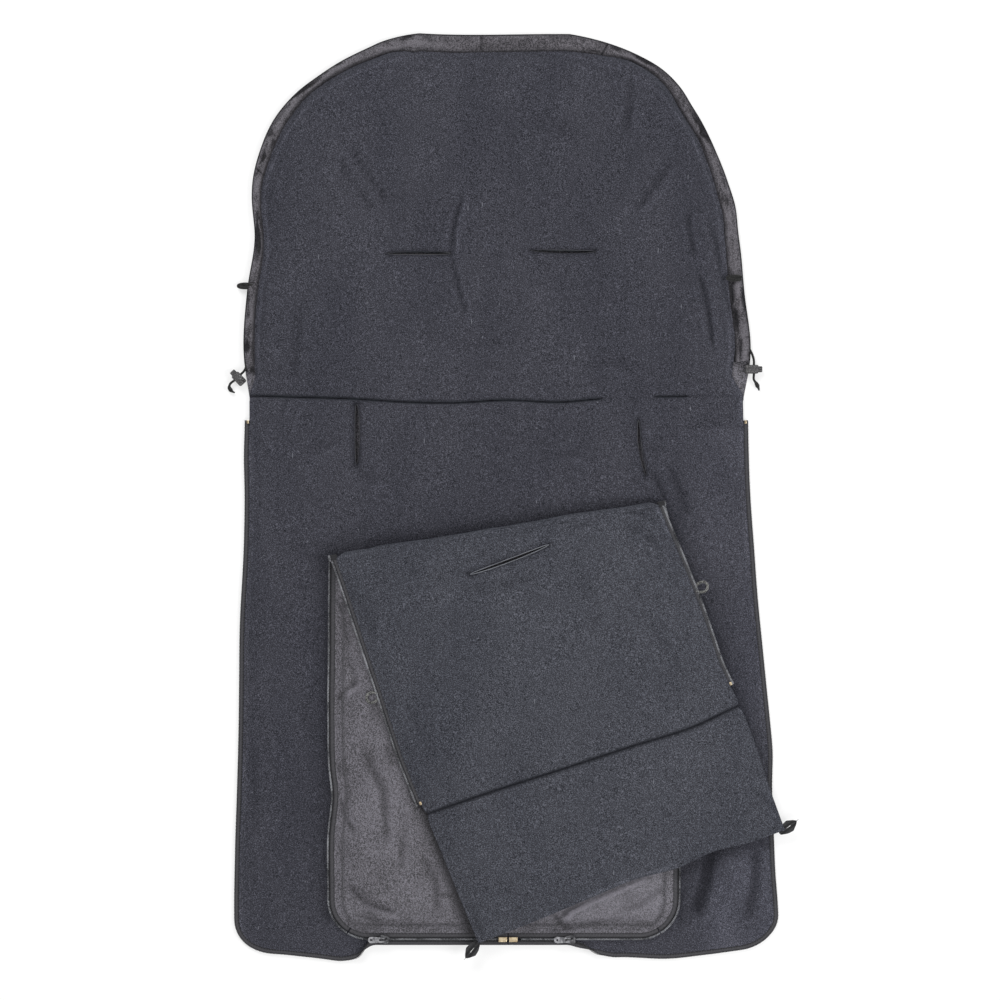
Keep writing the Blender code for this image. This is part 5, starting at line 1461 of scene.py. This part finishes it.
def makeLoop(name, node, body, way, aside=(0, 0)):
    # A loop of elastic over the frame's own loop, its two ends sewn side by side
    low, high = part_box(node)
    centre = (low + high) / 2
    centre.x, centre.y = centre.x + aside[0], centre.y + aside[1]
    points = []
    c, s = math.cos(way), math.sin(way)
    half, wide, thick, drawn, narrowed = loops[body]
    for turn in np.linspace(-math.pi + .38, math.pi - .38, 34):
        x = half * math.cos(turn) + (half * drawn if math.cos(turn) > 0 else 0)
        y = wide * math.sin(turn) * (1 - narrowed * (1 - math.cos(turn)) / 2)
        points.append((centre.x + x * c - y * s, centre.y + x * s + y * c, centre.z + .0004 * math.sin(turn * 2)))
    piece = asMesh(rod(name, smoothLine(points, 60), thick, 3))
    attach(piece, body)
    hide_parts(node)
    dress(piece, "ring" if body == "flap" else "cord")


makeDrawcord()
makeLoop("hoodLoopLeft", "hood_loop_left", "head", math.pi, (.0062, .0006))
makeLoop("hoodLoopRight", "hood_loop_right", "head", math.pi)
makeLoop("flapLoopLeft", "flap_loop_left", "flap", math.radians(201), (.0010, .0070))
makeLoop("flapLoopRight", "flap_loop_right", "flap", math.radians(21), (.0005, -.0095))


def makeCornerLoop(end, body, aside):
    # A pointed loop of tape: the frame's plate, softened and folded until its hole is a slit
    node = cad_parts["collar_loop_" + end]
    piece = bpy.data.objects.new("collarLoop" + end.title(), node.data.copy())
    bpy.context.scene.collection.objects.link(piece)
    onlySelect(piece)
    bpy.ops.object.mode_set(mode="EDIT")
    bpy.ops.mesh.select_all(action="SELECT")
    bpy.ops.mesh.remove_doubles(threshold=.00001)
    bpy.ops.mesh.subdivide(number_cuts=2)
    bpy.ops.object.mode_set(mode="OBJECT")
    applied(piece, "SUBSURF", levels=1, render_levels=1)
    spots = spotsOf(piece)
    flat = spots[:, :2] - spots[:, :2].mean(axis=0)
    way = np.linalg.eigh(np.cov(flat.T))[1]
    across, along = flat @ way[:, 0], flat @ way[:, 1]
    half = np.abs(across).max()
    closed = np.sign(across) * half * np.clip((np.abs(across) / half - .42) / .58, .012, 1)
    spots[:, :2] += np.outer(closed - across, way[:, 0]) + aside
    spots[:, 2] += .0008 * drift(spots[:, 0], spots[:, 1], .006, 71)
    spots[:, 2] += .0016 * bell(across / half, .5) * np.cos(along / .008)
    setSpots(piece, spots)
    smoothed(piece, 60)
    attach(piece, body)
    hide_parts("collar_loop_" + end)
    # Painted shade in the slit that closes the loop's hole
    keepValue(piece, "paintedShade", .9 * bell(np.abs(closed) - half * .30, half * .16))
    dress(piece, "loopTape")


for end, aside in (("left", (.0010, .0020)), ("right", (-.0030, -.0080))):
    makeCornerLoop(end, "collar", aside)
print("cords and loops made")


# Stitch rows: short threads along a line, one piece for each row
stitch = {"long": .0026, "gap": .0013, "radius": .00022, "sink": .0003, "inset": .0085, "matInset": .0028}


def stitchRow(name, line, body, finish="darkThread"):
    line = evenly(line, max(2, int(stepsOf(line)[-1] / .0006)))
    steps = stepsOf(line)
    piece = roundCurve(name, stitch["radius"], 0)
    long, gap = stitch["long"], stitch["gap"]
    for start in np.arange(gap, steps[-1] - long, long + gap):
        s = start + long * np.array([0, .2, .8, 1])
        points = np.column_stack([np.interp(s, steps, line[:, k]) for k in range(3)])
        points[(0, 3), 2] -= stitch["sink"]
        addLine(piece, points)
    asMesh(piece)
    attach(piece, body)
    return dress(piece, finish)


def onTop(path, top, above=.0002):
    path = np.array(path)
    return np.column_stack([path, top(path[:, 0], path[:, 1]) + above])


r = bag["coverCorner"]
turns = np.linspace(math.pi / 2, 0, 16)
inX, inY = (r - stitch["inset"]) * np.sin(turns), bag["coverFoot"] + r - (r - stitch["inset"]) * np.cos(turns)
leftCorner = np.column_stack([coverSide(bag["coverFoot"] + r, -1) + r - inX, inY])
rightCorner = np.column_stack([bag["coverRight"] - r + inX, inY])[::-1]
sideY = np.linspace(foldLine(bag["coverLeft"]) - .012, bag["coverFoot"] + .036, 60)
straight = np.column_stack([coverSide(sideY, -1) + stitch["inset"], sideY])
stitchRow("coverStitch", onTop(np.vstack([straight, leftCorner, rightCorner]), coverTop), "cover", "thread")
for hand, label in ((-1, "Left"), (1, "Right")):
    y = np.linspace(bag["seamY"] - .012, bag["footY"] + .040, 120)
    x = matSide(y, hand) - hand * stitch["matInset"]
    stitchRow("matStitch" + label, np.column_stack([x, y + footLift(x, y), backTop(x, y) + .0001]), "mat")
print("stitches made")


# Small hard pieces that keep the frame's shape
kinds = (
    ("zip_stop", "gilt"), ("slider_body", "sliderMetal"), ("pull_tab", "pullMetal"), ("spring", "spring"),
    ("cord_lock", "lock"),
)
for name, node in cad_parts.items():
    if node.hide_render:
        continue
    finish = next(look for word, look in kinds if word in name)
    node.data.materials.clear()
    node.data.materials.append(finishes[finish])


# Floor, lights and camera
studio = {
    "floor": 0.94, "floorGlow": 0.55, "floorSize": 30, "floorZ": -.0004, "world": 0.46,
    "camera": (-.006, -.003, 2.371), "lens": 85, "sensor": 36,
    "lamps": (((-0.7, 1.7, 1.7), 1.1, 33), ((1.8, -0.3, 1.6), 1.2, 28), ((0.0, -1.6, 1.8), 1.6, 14)),
}


def makeStudio():
    bpy.ops.object.select_all(action="DESELECT")
    bpy.ops.mesh.primitive_plane_add(size=studio["floorSize"], location=(0, 0, studio["floorZ"]))
    floor = newest("floor")
    look = Finish("floorPaint", Base_Color=(studio["floor"],) * 3, Roughness=0.9, Specular_IOR_Level=0.1)
    path = look.wire("LightPath", {}, {}, "Is Camera Ray")
    glow = look.wire("Emission", {}, {"Color": (1, 1, 1, 1), "Strength": 1.0})
    plain = Wire(look, look.shader.outputs[0])
    mixed = look.wire("MixShader", {}, {0: path * studio["floorGlow"], 1: plain, 2: glow})
    look.tree.links.new(mixed.socket, look.tree.nodes["Material Output"].inputs["Surface"])
    floor.data.materials.append(look.material)
    world = bpy.data.worlds.new("studioAir")
    bpy.context.scene.world = world
    world.use_nodes = True
    air = world.node_tree.nodes["Background"].inputs
    air["Color"].default_value = (1, 1, 1, 1)
    air["Strength"].default_value = studio["world"]
    for place, size, power in studio["lamps"]:
        bpy.ops.object.light_add(type="AREA", location=place)
        lamp = bpy.context.object
        lamp.data.size = size
        lamp.data.energy = power
        lamp.rotation_euler = (-lamp.location).to_track_quat("-Z", "Y").to_euler()
    bpy.ops.object.camera_add(location=studio["camera"])
    camera = bpy.context.object
    camera.data.lens, camera.data.sensor_width = studio["lens"], studio["sensor"]
    bpy.context.scene.camera = camera
    bpy.context.scene.view_settings.view_transform = "Standard"


makeStudio()
print("studio made")
